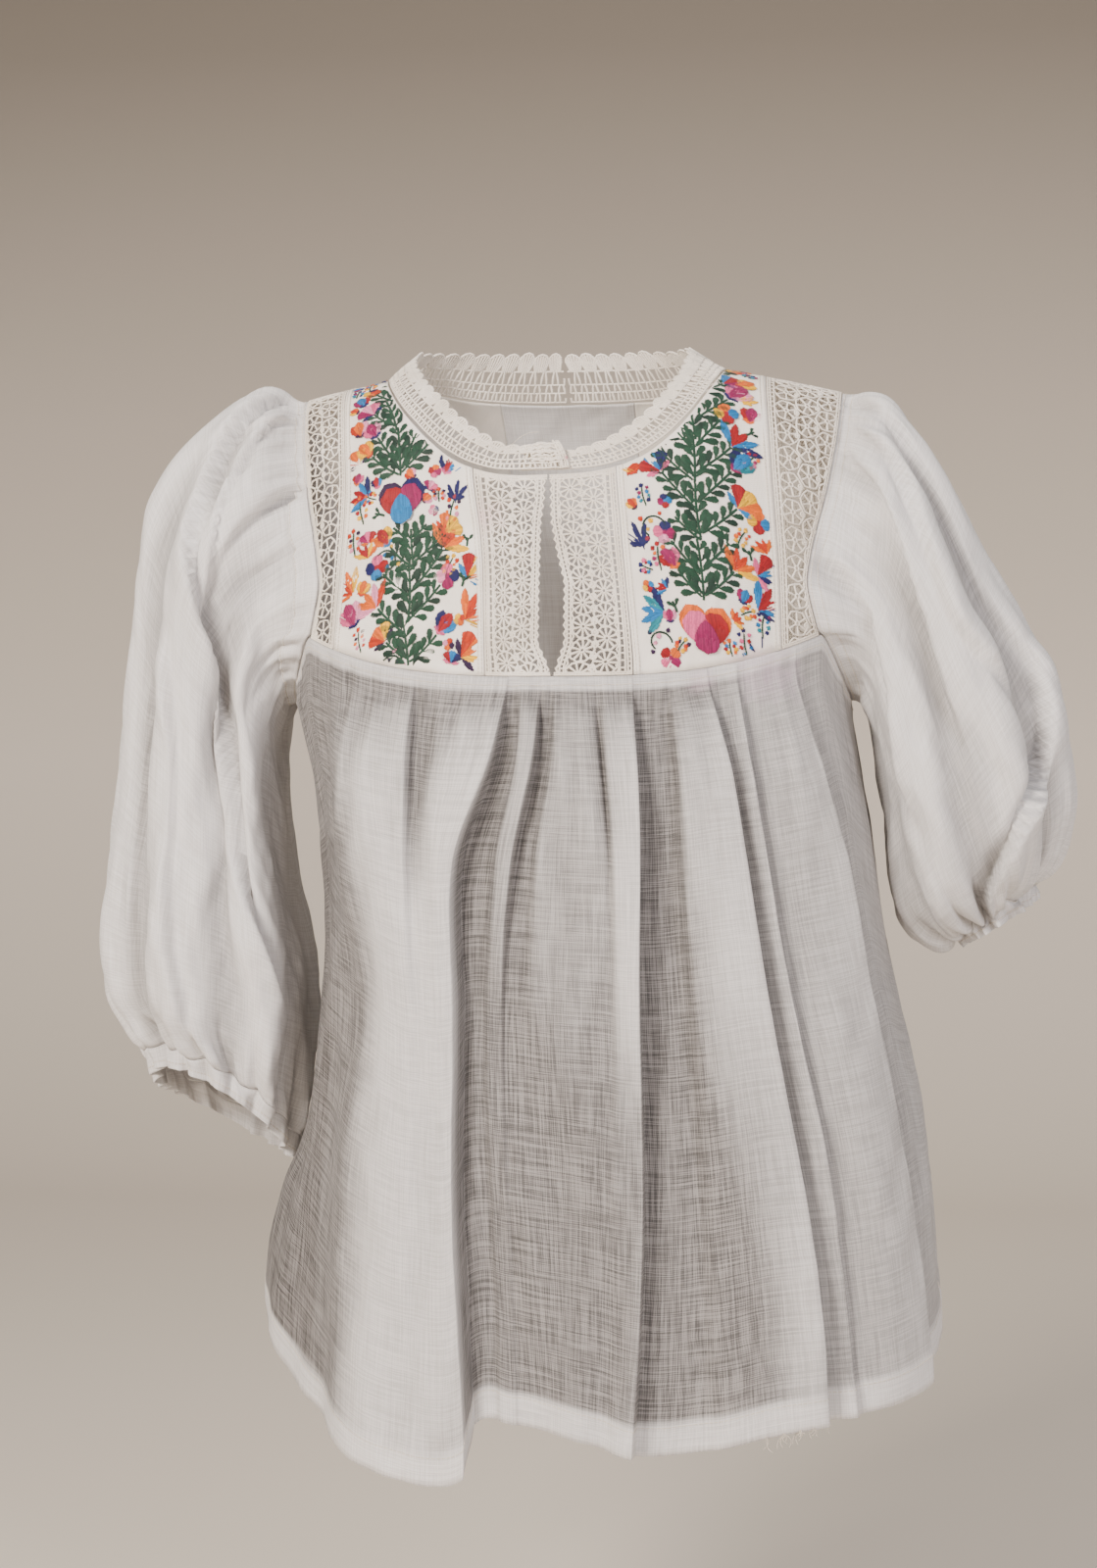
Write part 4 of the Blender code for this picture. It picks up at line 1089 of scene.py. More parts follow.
def drape_rise(angles, along, mm_round, drapes):
    """Rise of the crisp drapes: a ridge that ends in a steep edge, with a valley beyond it."""
    rise = np.zeros((len(along), len(angles)))
    for ridge, valley, width, *stations in drapes:
        shares, places = np.array(stations, float).T
        place = read(stations, 1, along)[:, None]
        present = soft_step(shares[0] - 0.02, shares[0] + 0.06, along) * (
            1 - soft_step(shares[-1] - 0.14, shares[-1] + 0.02, along)
        )
        away = ((angles[None, :] - place + 180) % 360 - 180) * mm_round
        beyond = soft_step(-DRAPE_EDGE / 2, DRAPE_EDGE, away)
        bump = ridge * np.exp(-((away / width) ** 2)) * (1 - beyond)
        dip = valley * np.exp(-((away / (0.7 * width)) ** 2)) * beyond
        rise += (bump - dip) * present[:, None]
    return rise


def ring_points(row, angles, side, rise):
    """Points of a sleeve ring: 0 degrees is its outer end, 90 is in front, 180 its inner end."""
    inner_x, inner_z, outer_x, outer_z, middle_y, front, back, lift_front, lift_back = row
    inner, outer = np.array([inner_x, 0, inner_z]), np.array([outer_x, 0, outer_z])
    centre, reach = (inner + outer) / 2, (outer - inner) / 2
    along, ahead = np.cos(np.radians(angles)), np.sin(np.radians(angles))
    power = 2 / RING_POWER
    along_share = np.abs(along) ** power * np.sign(along)
    ahead_share = np.abs(ahead) ** power
    before = ahead > 0
    depth = np.where(before, front, back)
    outer_way = reach / np.linalg.norm(reach)
    points = centre + reach * along_share[:, None] + outer_way * (along * rise)[:, None]
    points[:, 1] = middle_y - (depth * ahead_share + np.abs(ahead) * rise) * np.where(before, 1, -1)
    points[:, 2] += np.where(before, lift_front, lift_back) * ahead_share
    points[:, 0] *= side
    return points


def ring_knots(rings):
    """How far along the tube each ring lies, in mm."""
    gaps = np.linalg.norm(np.diff(np.array(rings), axis=0), axis=2).mean(axis=1)
    return np.concatenate([[0], np.cumsum(gaps)])


def through_rings(rings, between, knots=None):
    """Rings with more between them, on smooth lines through the given ones."""
    knots = ring_knots(rings) if knots is None else knots
    rings = np.array(rings)
    count = len(rings)
    slopes = np.gradient(rings, knots, axis=0)
    at = np.linspace(0, knots[-1], (count - 1) * between + 1)
    low = np.clip(np.searchsorted(knots, at, side="right") - 1, 0, count - 2)
    span = (knots[low + 1] - knots[low])[:, None, None]
    share = ((at - knots[low]) / (knots[low + 1] - knots[low]))[:, None, None]
    points = eased(rings[low], rings[low + 1], slopes[low], slopes[low + 1], span, share)
    return points, at / knots[-1]


# Gathers over the cuff: from and to how many mm above it the short and the long ones fade,
# the waves of long ones round the sleeve, and the mm over which they swell from the cuff
GATHER_SHORT = (6, 26)
GATHER_LONG = (12, 62)
GATHER_WAVES = 7
GATHER_SWELL = 12


def cuff_gathers(angles, side):
    """Round puckers with sharp valleys, uneven round the ring, from -0.6 to 0.4."""
    turn = np.radians(angles)
    phase = turn * 10 + 1.5 * np.sin(2 * turn + 0.6 + side) + 1.1 * np.sin(3 * turn - 1.1 * side)
    size = 0.72 + 0.28 * np.sin(5 * turn + 1.7 * side) * np.sin(2 * turn + 0.4)
    return (np.abs(np.sin(phase)) - 0.6) * size


def sleeve_grid(table, folds, drapes, side, seed):
    """Points of a sleeve from the armhole to the cuff, and how high each stands on its folds."""
    angles = np.arange(RING_COLUMNS) * 360 / RING_COLUMNS
    rings = list(armhole_rings(side, angles))
    stands = [np.zeros(RING_COLUMNS), np.zeros(RING_COLUMNS)]
    for index, row in enumerate(table):
        rise = fold_rise(angles, (index + 1) / len(table), folds)
        rise = rise * min(1, (index + 1) / FOLD_ONSET_RINGS)
        rings.append(ring_points(row, angles, side, rise))
        stands.append(rise)
    points, along = through_rings(rings, RINGS_BETWEEN)
    stand, _ = through_rings(np.array(stands)[..., None], RINGS_BETWEEN, ring_knots(rings))
    across, down = lay_out(points, True)
    around, below = across[None, :-1], down[:, None]
    seam_fade = soft_step(0, 8, below) * soft_step(0, 6, down[-1] - below)
    gathers = waves(seed, 9, around, below, *GATHER_LENGTHS) * (
        ARMHOLE_GATHERS * (1 - soft_step(10, 80, below))
        + CUFF_GATHERS * (1 - soft_step(8, 60, down[-1] - below))
    )
    hanging = SLACK * waves(seed + 1, 9, around, below, *SLACK_LENGTHS)
    crumple = CRUMPLE * waves(seed + 2, 12, around, below, *CRUMPLE_LENGTHS)
    crisp = drape_rise(angles, along, across[-1] / 360, drapes)
    # The sum of whole waves doesn't close round the sleeve, so it fades at the inner line
    closing = soft_step(0, 14, np.minimum(around, across[-1] - around))
    fine = ((gathers + hanging + crumple) * closing + crisp) * seam_fade
    from_cuff = down[-1] - below
    long_ones = 0.55 + 0.45 * np.sin(np.radians(angles) * GATHER_WAVES + side)
    short_reach = 1 - soft_step(*GATHER_SHORT, from_cuff)
    long_reach = 1 - soft_step(*GATHER_LONG, from_cuff)
    reach = short_reach * (1 - long_ones) + long_reach * long_ones
    swell = CUFF_PUCKER * (1 + 0.5 * soft_step(0, GATHER_SWELL, from_cuff))
    fine = fine + swell * reach * cuff_gathers(angles, side)
    normals = ring_normals(points)
    return points + normals * fine[..., None], stand[..., 0] + fine * 0.6, along


def ring_normals(points):
    """Unit normals of a tube of rings, pointing away from its middle line."""
    down = np.gradient(points, axis=0)
    across = (np.roll(points, -1, axis=1) - np.roll(points, 1, axis=1)) / 2
    normal = np.cross(down, across)
    normal /= np.linalg.norm(normal, axis=2, keepdims=True) + 1e-9
    outer = points - points.mean(axis=1, keepdims=True)
    if (normal * outer).sum() < 0:
        normal = -normal
    return normal


sleeves = {}
for name, table, folds, drapes, side, seed, cut in (
    ("sleeve_right", SLEEVE_RIGHT, FOLDS_RIGHT, DRAPES_RIGHT, -1, 61, (0.46, 0.36)),
    ("sleeve_left", SLEEVE_LEFT, FOLDS_LEFT, DRAPES_LEFT, 1, 67, (0.46, 0.36)),
):
    points, stand, along = sleeve_grid(table, folds, drapes, side, seed)
    sleeves[name] = points
    # Painted shade: the sleeve is greyer where its folds sink into valleys
    tints = {"sheer_and_shade": 0.04 + 0.44 * (1 - soft_step(-8, 3, stand))}
    sleeve = make_cloth(name + "_cloth", points, muslin, closed=True, flip=side > 0, tints=tints)
    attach(sleeve, "root")
    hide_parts(name)


# Turned band: the right armhole's seam allowance, turned out in front and stitched flat on the
# sleeve. It lies between two places round the armhole and narrows to nothing at both.
TURNED_ANGLES = (76, 150)
TURNED_WIDE = 17.0
TURNED_START = 0.9
TURNED_ROWS = 12
TURNED_RAISED = 1.5
TURNED_SHEER_AND_SHADE = 0.03
TURNED_WALL = 1.1
points = sleeves["sleeve_right"]
first, last = (round(angle * RING_COLUMNS / 360) for angle in TURNED_ANGLES)
steps = np.linalg.norm(np.diff(points[:, first:last], axis=0), axis=2)
below = np.concatenate([np.zeros((1, last - first)), np.cumsum(steps, axis=0)])
ease = np.sin(np.linspace(0.1, 0.96, last - first) * pi) ** 0.25
levels = np.linspace(TURNED_START, TURNED_WIDE, TURNED_ROWS)[:, None] * ease
normals = ring_normals(points)[:, first:last]
raised = points[:, first:last] + normals * TURNED_RAISED
armhole_band = np.stack(
    [
        [
            np.interp(levels[:, column], below[:, column], raised[:, column, axis])
            for axis in range(3)
        ]
        for column in range(last - first)
    ],
    axis=1,
).transpose(2, 1, 0)
sleeve_band = make_cloth(
    "armhole_band_right", armhole_band, muslin, tints={"sheer_and_shade": TURNED_SHEER_AND_SHADE}, wall=TURNED_WALL
)
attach(sleeve_band, "root")


# Crochet lace: strips of ecru cotton worked in wheels, joined into the yoke on both sides of the
# slit and at the armholes. Each yarn is a tube laid on its strip: rings, the spokes between them
# and a ladder along the sewn edge. The outer strips are stretched, so their gaps are open.

YARN_SIDES = 5


def add_geometry_tree(name, inputs):
    """An empty geometry tree with named inputs, and the identifiers of those inputs."""
    tree = bpy.data.node_groups.new(name, "GeometryNodeTree")
    tree.interface.new_socket("Geometry", in_out="INPUT", socket_type="NodeSocketGeometry")
    tree.interface.new_socket("Geometry", in_out="OUTPUT", socket_type="NodeSocketGeometry")
    known = {}
    for label, kind in inputs:
        known[label] = tree.interface.new_socket(label, in_out="INPUT", socket_type=kind).identifier
    return tree, known


def grown(name, guide, tree, values):
    """The plain mesh object that a geometry tree makes from a guide object."""
    grower = guide.modifiers.new("grow", "NODES")
    grower.node_group = tree
    for identifier, value in values.items():
        grower[identifier] = value
    bpy.context.view_layer.update()
    depsgraph = bpy.context.evaluated_depsgraph_get()
    mesh = bpy.data.meshes.new_from_object(guide.evaluated_get(depsgraph))
    mesh.name = name
    bpy.data.objects.remove(guide, do_unlink=True)
    made = bpy.data.objects.new(name, mesh)
    bpy.context.scene.collection.objects.link(made)
    return made


def guide_lines(name, lines, thickness=None):
    """A guide object of polylines in mm, each point with a radius where thickness is given."""
    points = np.concatenate(lines)
    starts = np.cumsum([0] + [len(line) for line in lines[:-1]])
    edges = np.concatenate(
        [
            start + np.stack([np.arange(len(line) - 1), np.arange(1, len(line))], axis=1)
            for start, line in zip(starts, lines)
        ]
    )
    mesh = bpy.data.meshes.new(name)
    mesh.from_pydata((points * MM).tolist(), edges.tolist(), [])
    if thickness is not None:
        radius = mesh.attributes.new("radius_m", "FLOAT", "POINT")
        radius.data.foreach_set("value", (np.concatenate(thickness) * MM).astype(np.float32))
    guide = bpy.data.objects.new(name, mesh)
    bpy.context.scene.collection.objects.link(guide)
    return guide


# Yarn tree: each guide line becomes a round yarn of its own radius, with closed ends
yarn_tree, yarn_inputs = add_geometry_tree(
    "yarn_on_lines", (("Sides", "NodeSocketInt"), ("Yarn", "NodeSocketMaterial"))
)
yarn_in = tree_node(yarn_tree, "NodeGroupInput")
yarn_radius = tree_node(
    yarn_tree, "GeometryNodeInputNamedAttribute", {"data_type": "FLOAT"}, Name="radius_m"
)
yarn_curves = tree_node(yarn_tree, "GeometryNodeMeshToCurve", Mesh=yarn_in.outputs["Geometry"])
yarn_sized = tree_node(
    yarn_tree,
    "GeometryNodeSetCurveRadius",
    Curve=yarn_curves.outputs["Curve"],
    Radius=yarn_radius.outputs[0],
)
yarn_round = tree_node(
    yarn_tree, "GeometryNodeCurvePrimitiveCircle", Resolution=yarn_in.outputs["Sides"], Radius=1.0
)
yarn_tubes = tree_node(
    yarn_tree,
    "GeometryNodeCurveToMesh",
    Curve=yarn_sized.outputs["Curve"],
    Profile_Curve=yarn_round.outputs["Curve"],
    Fill_Caps=True,
)
if "Scale" in yarn_tubes.inputs:
    yarn_tree.links.new(yarn_radius.outputs[0], yarn_tubes.inputs["Scale"])
yarn_smooth = tree_node(
    yarn_tree, "GeometryNodeSetShadeSmooth", Geometry=yarn_tubes.outputs["Mesh"]
)
yarn_whole = tree_node(
    yarn_tree, "GeometryNodeRealizeInstances", Geometry=yarn_smooth.outputs["Geometry"]
)
yarn_dressed = tree_node(
    yarn_tree,
    "GeometryNodeSetMaterial",
    Geometry=yarn_whole.outputs["Geometry"],
    Material=yarn_in.outputs["Yarn"],
)
tree_node(yarn_tree, "NodeGroupOutput", Geometry=yarn_dressed.outputs["Geometry"])

# Crochet cotton: mercerised ecru yarn, softly fuzzy, with a fine twist seen as slanting light
crochet, crochet_shader = new_material("crochet_cotton_yarn")
crochet_place = add_node(crochet, "ShaderNodeTexCoord").outputs["Object"]
crochet_twist = add_node(
    crochet, "ShaderNodeTexNoise", Vector=crochet_place, Scale=900.0, Detail=3.0, Roughness=0.7
)
crochet_age = add_node(crochet, "ShaderNodeTexNoise", Vector=crochet_place, Scale=28.0, Detail=3.0)
crochet_mix = add_node(
    crochet,
    "ShaderNodeMath",
    {"operation": "MULTIPLY_ADD"},
    _0=crochet_twist.outputs["Fac"],
    _1=0.55,
    _2=crochet_age.outputs["Fac"],
)
crochet_share = add_node(crochet, "ShaderNodeMapRange", _0=crochet_mix.outputs[0], _1=0.5, _2=1.05)
crochet_tone = add_node(
    crochet,
    "ShaderNodeMix",
    {"data_type": "RGBA"},
    _0=crochet_share.outputs[0],
    _6=linear("#D5CBBD"),
    _7=linear("#F4EDE2"),
)
crochet_relief = add_node(
    crochet, "ShaderNodeBump", Strength=0.5, Distance=0.0002, Height=crochet_twist.outputs["Fac"]
)
# A small crimson spot at the tab's end, and pinkish patches beside the slit
crochet_marks = (
    ((7, -103, -52), 2.2, "#B23A64", 0.85),
    ((-40, -112, -86), 14, "#E9C9CC", 0.45),
    ((-30, -112, -62), 9, "#E9C9CC", 0.3),
)
crochet_dyed = stain(crochet, crochet_tone.outputs[2], crochet_marks)
crochet_finish = {"Roughness": 0.85, "Specular IOR Level": 0.3}
finish(crochet, crochet_shader, crochet_dyed, crochet_relief.outputs["Normal"], **crochet_finish)


class LaidStrip(YokePanel):
    """A yoke strip on which things are laid by mm across it and down it from the shoulder."""

    def __init__(self, left, right, behind):
        super().__init__(left, right, behind)
        self.bends = np.linspace(0, 1, 500) ** 2 * pi / 2
        middle = self.at(np.full(500, 0.5), self.bends)
        steps = np.linalg.norm(np.diff(middle, axis=0), axis=1)
        self.downs = np.concatenate([[0], np.cumsum(steps)])
        edges = self.at(np.array([[0.0], [1.0]]), self.bends[None, :])
        self.widths = np.linalg.norm(edges[1] - edges[0], axis=1)
        self.places = np.linspace(0, 1, 40)
        self.tops, self.feet = self.ends(self.places)
        self.length = self.downs[-1]

    def width_at(self, down):
        return np.interp(down, self.downs, self.widths)

    def foot_at(self, place):
        """How far down the strip ends, at a share of its width."""
        return np.interp(np.interp(place, self.places, self.feet), self.bends, self.downs)

    def top_at(self, place):
        return np.interp(np.interp(place, self.places, self.tops), self.bends, self.downs)

    def inside(self, place, down, margin):
        """Whether places lie on the strip, at least margin mm from its edges."""
        width = self.width_at(down)
        enough = (place * width > margin) & ((1 - place) * width > margin)
        return enough & (down > self.top_at(place) + margin) & (down < self.foot_at(place) - margin)

    def lay(self, place, down, lift):
        """Points at shares of the width and mm down, raised by lift."""
        bend = np.interp(down, self.downs, self.bends)
        point = self.at(place, bend)
        aside = self.at(place + 0.02, bend) - self.at(place - 0.02, bend)
        ahead = self.at(place, np.minimum(bend + 0.01, pi / 2)) - self.at(
            place, np.maximum(bend - 0.01, 0)
        )
        normal = np.cross(ahead, aside)
        normal /= np.linalg.norm(normal, axis=-1, keepdims=True)
        if self.behind:
            normal = -normal
        return point + normal * np.asarray(lift)[..., None]


def wheel(middle, radius, spokes, yarn, squash=1.0, turn=0.0):
    """Yarn lines of one wheel, each with its radius and lift: a hub, thick spokes and a rim."""
    middle = np.array(middle)
    around = np.linspace(0, 2 * pi, 2 * spokes + 1) + turn
    round_way = np.stack([np.cos(around), np.sin(around) * squash], axis=1)
    lines = [(middle + round_way[::2] * radius * 0.2, yarn, 0.25)]
    share = np.array([0.18, 0.5, 0.8, 1.0])[:, None]
    thickness = yarn * np.array([0.85, 1.05, 1.2, 1.0])
    for way in round_way[:-1:2]:
        lines.append((middle + way * radius * share, thickness, 0.0))
    scallops = np.where(np.arange(2 * spokes + 1) % 2, 1.06, 0.97)[:, None]
    lines.append((middle + round_way * radius * scallops, yarn, 0.15))
    return lines


def ladder(near, far, start, end, pitch, yarn):
    """Two yarns along the strip with bars between them; near and far may change down the strip."""
    downs = np.arange(start, end, pitch / 2)
    near, far = np.broadcast_to(near, downs.shape), np.broadcast_to(far, downs.shape)
    lines = [(np.stack([side, downs], axis=1), yarn, 0.1) for side in (near, far)]
    for index in range(0, len(downs), 2):
        bar = [(near[index], downs[index]), (far[index], downs[index])]
        lines.append((np.array(bar), yarn * 0.85, 0.0))
    return lines


def zigzag(across, reach, start, end, pitch, yarn):
    """A yarn that goes to and fro across the strip as it runs down it."""
    downs = np.arange(start, end, pitch / 2)
    sway = np.where(np.arange(len(downs)) % 2, reach / 2, -reach / 2)
    return [(np.stack([across + sway, downs], axis=1), yarn, 0.05)]


def bound_ends(strip, width, from_far):
    """Rows of chain that follow the strip's upper and lower ends, from edge to edge."""
    places = np.linspace(0.012, 0.988, 60)
    lines = []
    for ends, insets in ((strip.top_at, (0.5, 1.6, 2.8)), (strip.foot_at, (-0.5, -1.6))):
        for inset in insets:
            downs = ends(places) + inset
            across = (1 - places if from_far else places) * (width or strip.width_at(downs))
            lines.append((np.stack([across, downs], axis=1), 0.62, 0.2))
    return lines


def lay_yarns(name, strip, lines, width, from_far, stands_for, margin=0.2):
    """Lays yarn lines, in mm from one edge of the strip, and makes them one piece of lace."""
    kept, radii = [], []
    for points, radius, lift in lines:
        across, down = points[:, 0], points[:, 1]
        place = across / (strip.width_at(down) if width is None else width)
        place = 1 - place if from_far else place
        radius = np.broadcast_to(radius, down.shape)
        on_strip = strip.inside(place, down, margin)
        # A line that crosses the strip's edge is cut there and goes on as separate runs
        for run in np.split(np.arange(len(down)), np.nonzero(np.diff(on_strip))[0] + 1):
            if on_strip[run[0]] and len(run) > 1:
                kept.append(strip.lay(place[run], down[run], np.full(len(run), lift)))
                radii.append(radius[run])
    guide = guide_lines(name, kept, radii)
    values = {yarn_inputs["Sides"]: YARN_SIDES, yarn_inputs["Yarn"]: crochet}
    lace = grown(name, guide, yarn_tree, values)
    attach(lace, "root")
    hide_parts(stands_for)
    return lace


# Centre strips: a ladder with dark slots beside the panel, two columns of wheels and a picot edge
CENTRE_LACE_WIDTH = 42.0
CENTRE_REPEAT = 13.6
for name, left, right, from_far in (
    ("centre_lace_right", INNER_R, SLIT_R, False),
    ("centre_lace_left", SLIT_L, INNER_L, True),
):
    strip = LaidStrip(left, right, False)
    lines = bound_ends(strip, CENTRE_LACE_WIDTH, from_far)
    lines += ladder(0.8, 2.6, 0, strip.length, 2.7, 0.62)
    lines += ladder(4.0, 7.0, 0, strip.length, 4.2, 0.72)
    for across, start in ((14.6, 4.0), (28.6, 4.0 + CENTRE_REPEAT / 2)):
        for index, down in enumerate(np.arange(start, strip.length, CENTRE_REPEAT)):
            lines += wheel((across, down), 6.9, 10, 0.68, 0.95, turn=0.17 * index)
    for across, start in ((21.6, 0.6), (21.6, 7.4)):
        for down in np.arange(start, strip.length, CENTRE_REPEAT):
            lines += wheel((across, down), 1.9, 5, 0.6)
    lines += zigzag(8.2, 1.6, 0, strip.length, 4.6, 0.66)
    lines += zigzag(35.2, 1.4, 0, strip.length, 5.2, 0.66)
    lines += ladder(36.4, 38.6, 0, strip.length, 2.5, 0.66)
    lines += zigzag(39.8, 1.5, 0, strip.length, 5.0, 0.8)
    lace = lay_yarns(name + "_yarns", strip, lines, CENTRE_LACE_WIDTH, from_far, name)

# Outer strips: a close edge beside the panel, then wide wheels pulled open, as far as the armhole
OUTER_REPEAT = 16.4
for name, left, right, behind, from_far, cut in (
    ("outer_lace_front_right", ARMHOLE_R, OUTER_R, False, True, (0.03, 0.19)),
    ("outer_lace_front_left", OUTER_L, ARMHOLE_L, False, False, (0.044, 0.195)),
    ("outer_lace_back_right", ARMHOLE_R, OUTER_R, True, True, (0.03, 0.19)),
    ("outer_lace_back_left", OUTER_L, ARMHOLE_L, True, False, (0.044, 0.195)),
):
    strip = LaidStrip(left, right, behind)
    lines = bound_ends(strip, None, from_far)
    lines += ladder(0.8, 2.5, 0, strip.length, 2.8, 0.62)
    lines += ladder(2.5, 5.0, 0, strip.length, 4.1, 0.6)
    for column in range(3):
        across, start = 13.2 + 14.8 * column, 5.0 + OUTER_REPEAT / 2 * (column % 2)
        for index, down in enumerate(np.arange(start, strip.length, OUTER_REPEAT)):
            lines += wheel((across, down), 8.1, 6, 0.6, 0.9, turn=0.23 * index + 0.4 * column)
            lines += wheel((across + 7.4, down), 1.6, 4, 0.55)
    far_edge = strip.width_at(np.arange(0, strip.length, 1.35))
    lines += ladder(far_edge - 2.2, far_edge - 0.7, 0, strip.length, 2.7, 0.62)
    lace = lay_yarns(name + "_yarns", strip, lines, None, from_far, name)

# Neck band: two lengths of the same lace stood up round the neck, with a scalloped upper edge. The
# end on the wearer's right is a squared tab, crumpled and doubled, which lies on the other end.

NECK_UPPER = (-12.5, 82.5, 98.0, 44.0, 2.0, 3.0)
# Height of the band's upper rim at places from front to back
NECK_RIM = ((-99, -50), (-95, -42), (-86, -28.5), (-74, -15), (-50, 2.5), (0, 25), (44, 31))
BAND_GAP = 1.1
BAND_BULGE = 1.2
BULGE_UPWARD = 4.0
BAND_BACK_TURN = 179.9
BAND_LAP_TURN = 4.0
TAB_TURN = 16.0
TAB_STEEPNESS = 1.6
TAB_LIFT = 2.0
TAB_RISE = 6.0


def neck_plan(turn, neck, shrink=0.0):
    """x and y of the neck opening; turn is 0 in front and 180 degrees behind, left positive."""
    middle, half, front, back, power_right, power_left = neck
    power = np.where(turn > 0, power_left, power_right)
    side = np.where(turn > 0, 1, -1)
    across = np.abs(np.sin(np.radians(turn))) ** (2 / power) * (half - shrink)
    ahead = np.cos(np.radians(turn))
    depth = np.where(ahead > 0, front, back) - shrink
    return middle + across * side, -(np.abs(ahead) ** (2 / power)) * depth * np.sign(ahead)


class NeckBand:
    """A length of the neck band, with the same way of laying yarns as a yoke strip."""

    def __init__(self, start, end, tab):
        self.end, self.tab = end, tab
        turns = np.linspace(start, end, 600)
        lower, _, upper = self.column(turns)
        steps = np.linalg.norm(np.diff((lower + upper) / 2, axis=0), axis=1)
        self.downs, self.turns = np.concatenate([[0], np.cumsum(steps)]), turns
        self.widths = np.linalg.norm(upper - lower, axis=1)
        self.length = self.downs[-1]

    def column(self, turn):
        """The lower edge, middle and upper edge of the band at turns round the neck."""
        lower_x, lower_y = neck_plan(turn, NECK_LOWER, BAND_GAP)
        upper_x, upper_y = neck_plan(turn, NECK_UPPER)
        lower = np.zeros((*turn.shape, 3))
        for behind in (False, True):
            share = np.minimum(np.abs(lower_y) / yoke_depth(lower_x, behind), 1)
            seated = yoke_point(lower_x, np.arcsin(share ** (PROFILE_POWER / 2)), behind)
            lower = np.where(((lower_y > 0) == behind)[..., None], seated, lower)
        near = np.clip(1 - np.abs(turn - self.end) / TAB_TURN, 0, 1) if self.tab else 0 * turn
        rim = read(NECK_RIM, 1, upper_y) + TAB_RISE * near
        upper = np.stack([upper_x, upper_y, rim], axis=-1)
        upward = np.full(turn.shape, BULGE_UPWARD)
        out = np.stack([lower_x - upper_x, lower_y - upper_y, upward], axis=-1)
        out /= np.linalg.norm(out, axis=-1, keepdims=True)
        middle = (lower + upper) / 2 + out * BAND_BULGE
        lift = TAB_LIFT * np.minimum(1, near * TAB_STEEPNESS)
        front = lift[..., None] * np.array([0.0, -1.0, 0.2])
        return lower + front, middle + front, upper + front

    def width_at(self, down):
        return np.interp(down, self.downs, self.widths)

    def inside(self, place, down, margin):
        return (down > margin) & (down < self.length - margin) & (place > 0) & (place < 1.25)

    def at(self, place, down):
        """Points at shares of the band's height and mm along it, with the tab's crumples."""
        lower, middle, upper = self.column(np.interp(down, self.downs, self.turns))
        place = np.asarray(place)[..., None]
        curve = (1 - place) * (1 - 2 * place) * lower + 4 * place * (1 - place) * middle
        return curve + place * (2 * place - 1) * upper

    def lay(self, place, down, lift):
        point = self.at(place, down)
        along = self.at(place, down + 0.5) - self.at(place, down - 0.5)
        upwards = self.at(place + 0.05, down) - self.at(place - 0.05, down)
        normal = np.cross(along, upwards)
        normal /= np.linalg.norm(normal, axis=-1, keepdims=True)
        middle = np.array([NECK_LOWER[0], 0.0, 0.0])
        normal *= np.sign(((point - middle) * normal * (1, 1, 0)).sum(axis=-1, keepdims=True))
        from_end = self.length - down
        crumple = 0.9 * waves(5, 6, from_end, place * 16, 7, 9) if self.tab else 0.0
        ripple = 0.3 * (1 + np.sin(down * 0.31 + place * 3))
        crumple = crumple * (1 - soft_step(14, 30, from_end)) - ripple
        return point + normal * (lift + crumple)[..., None]


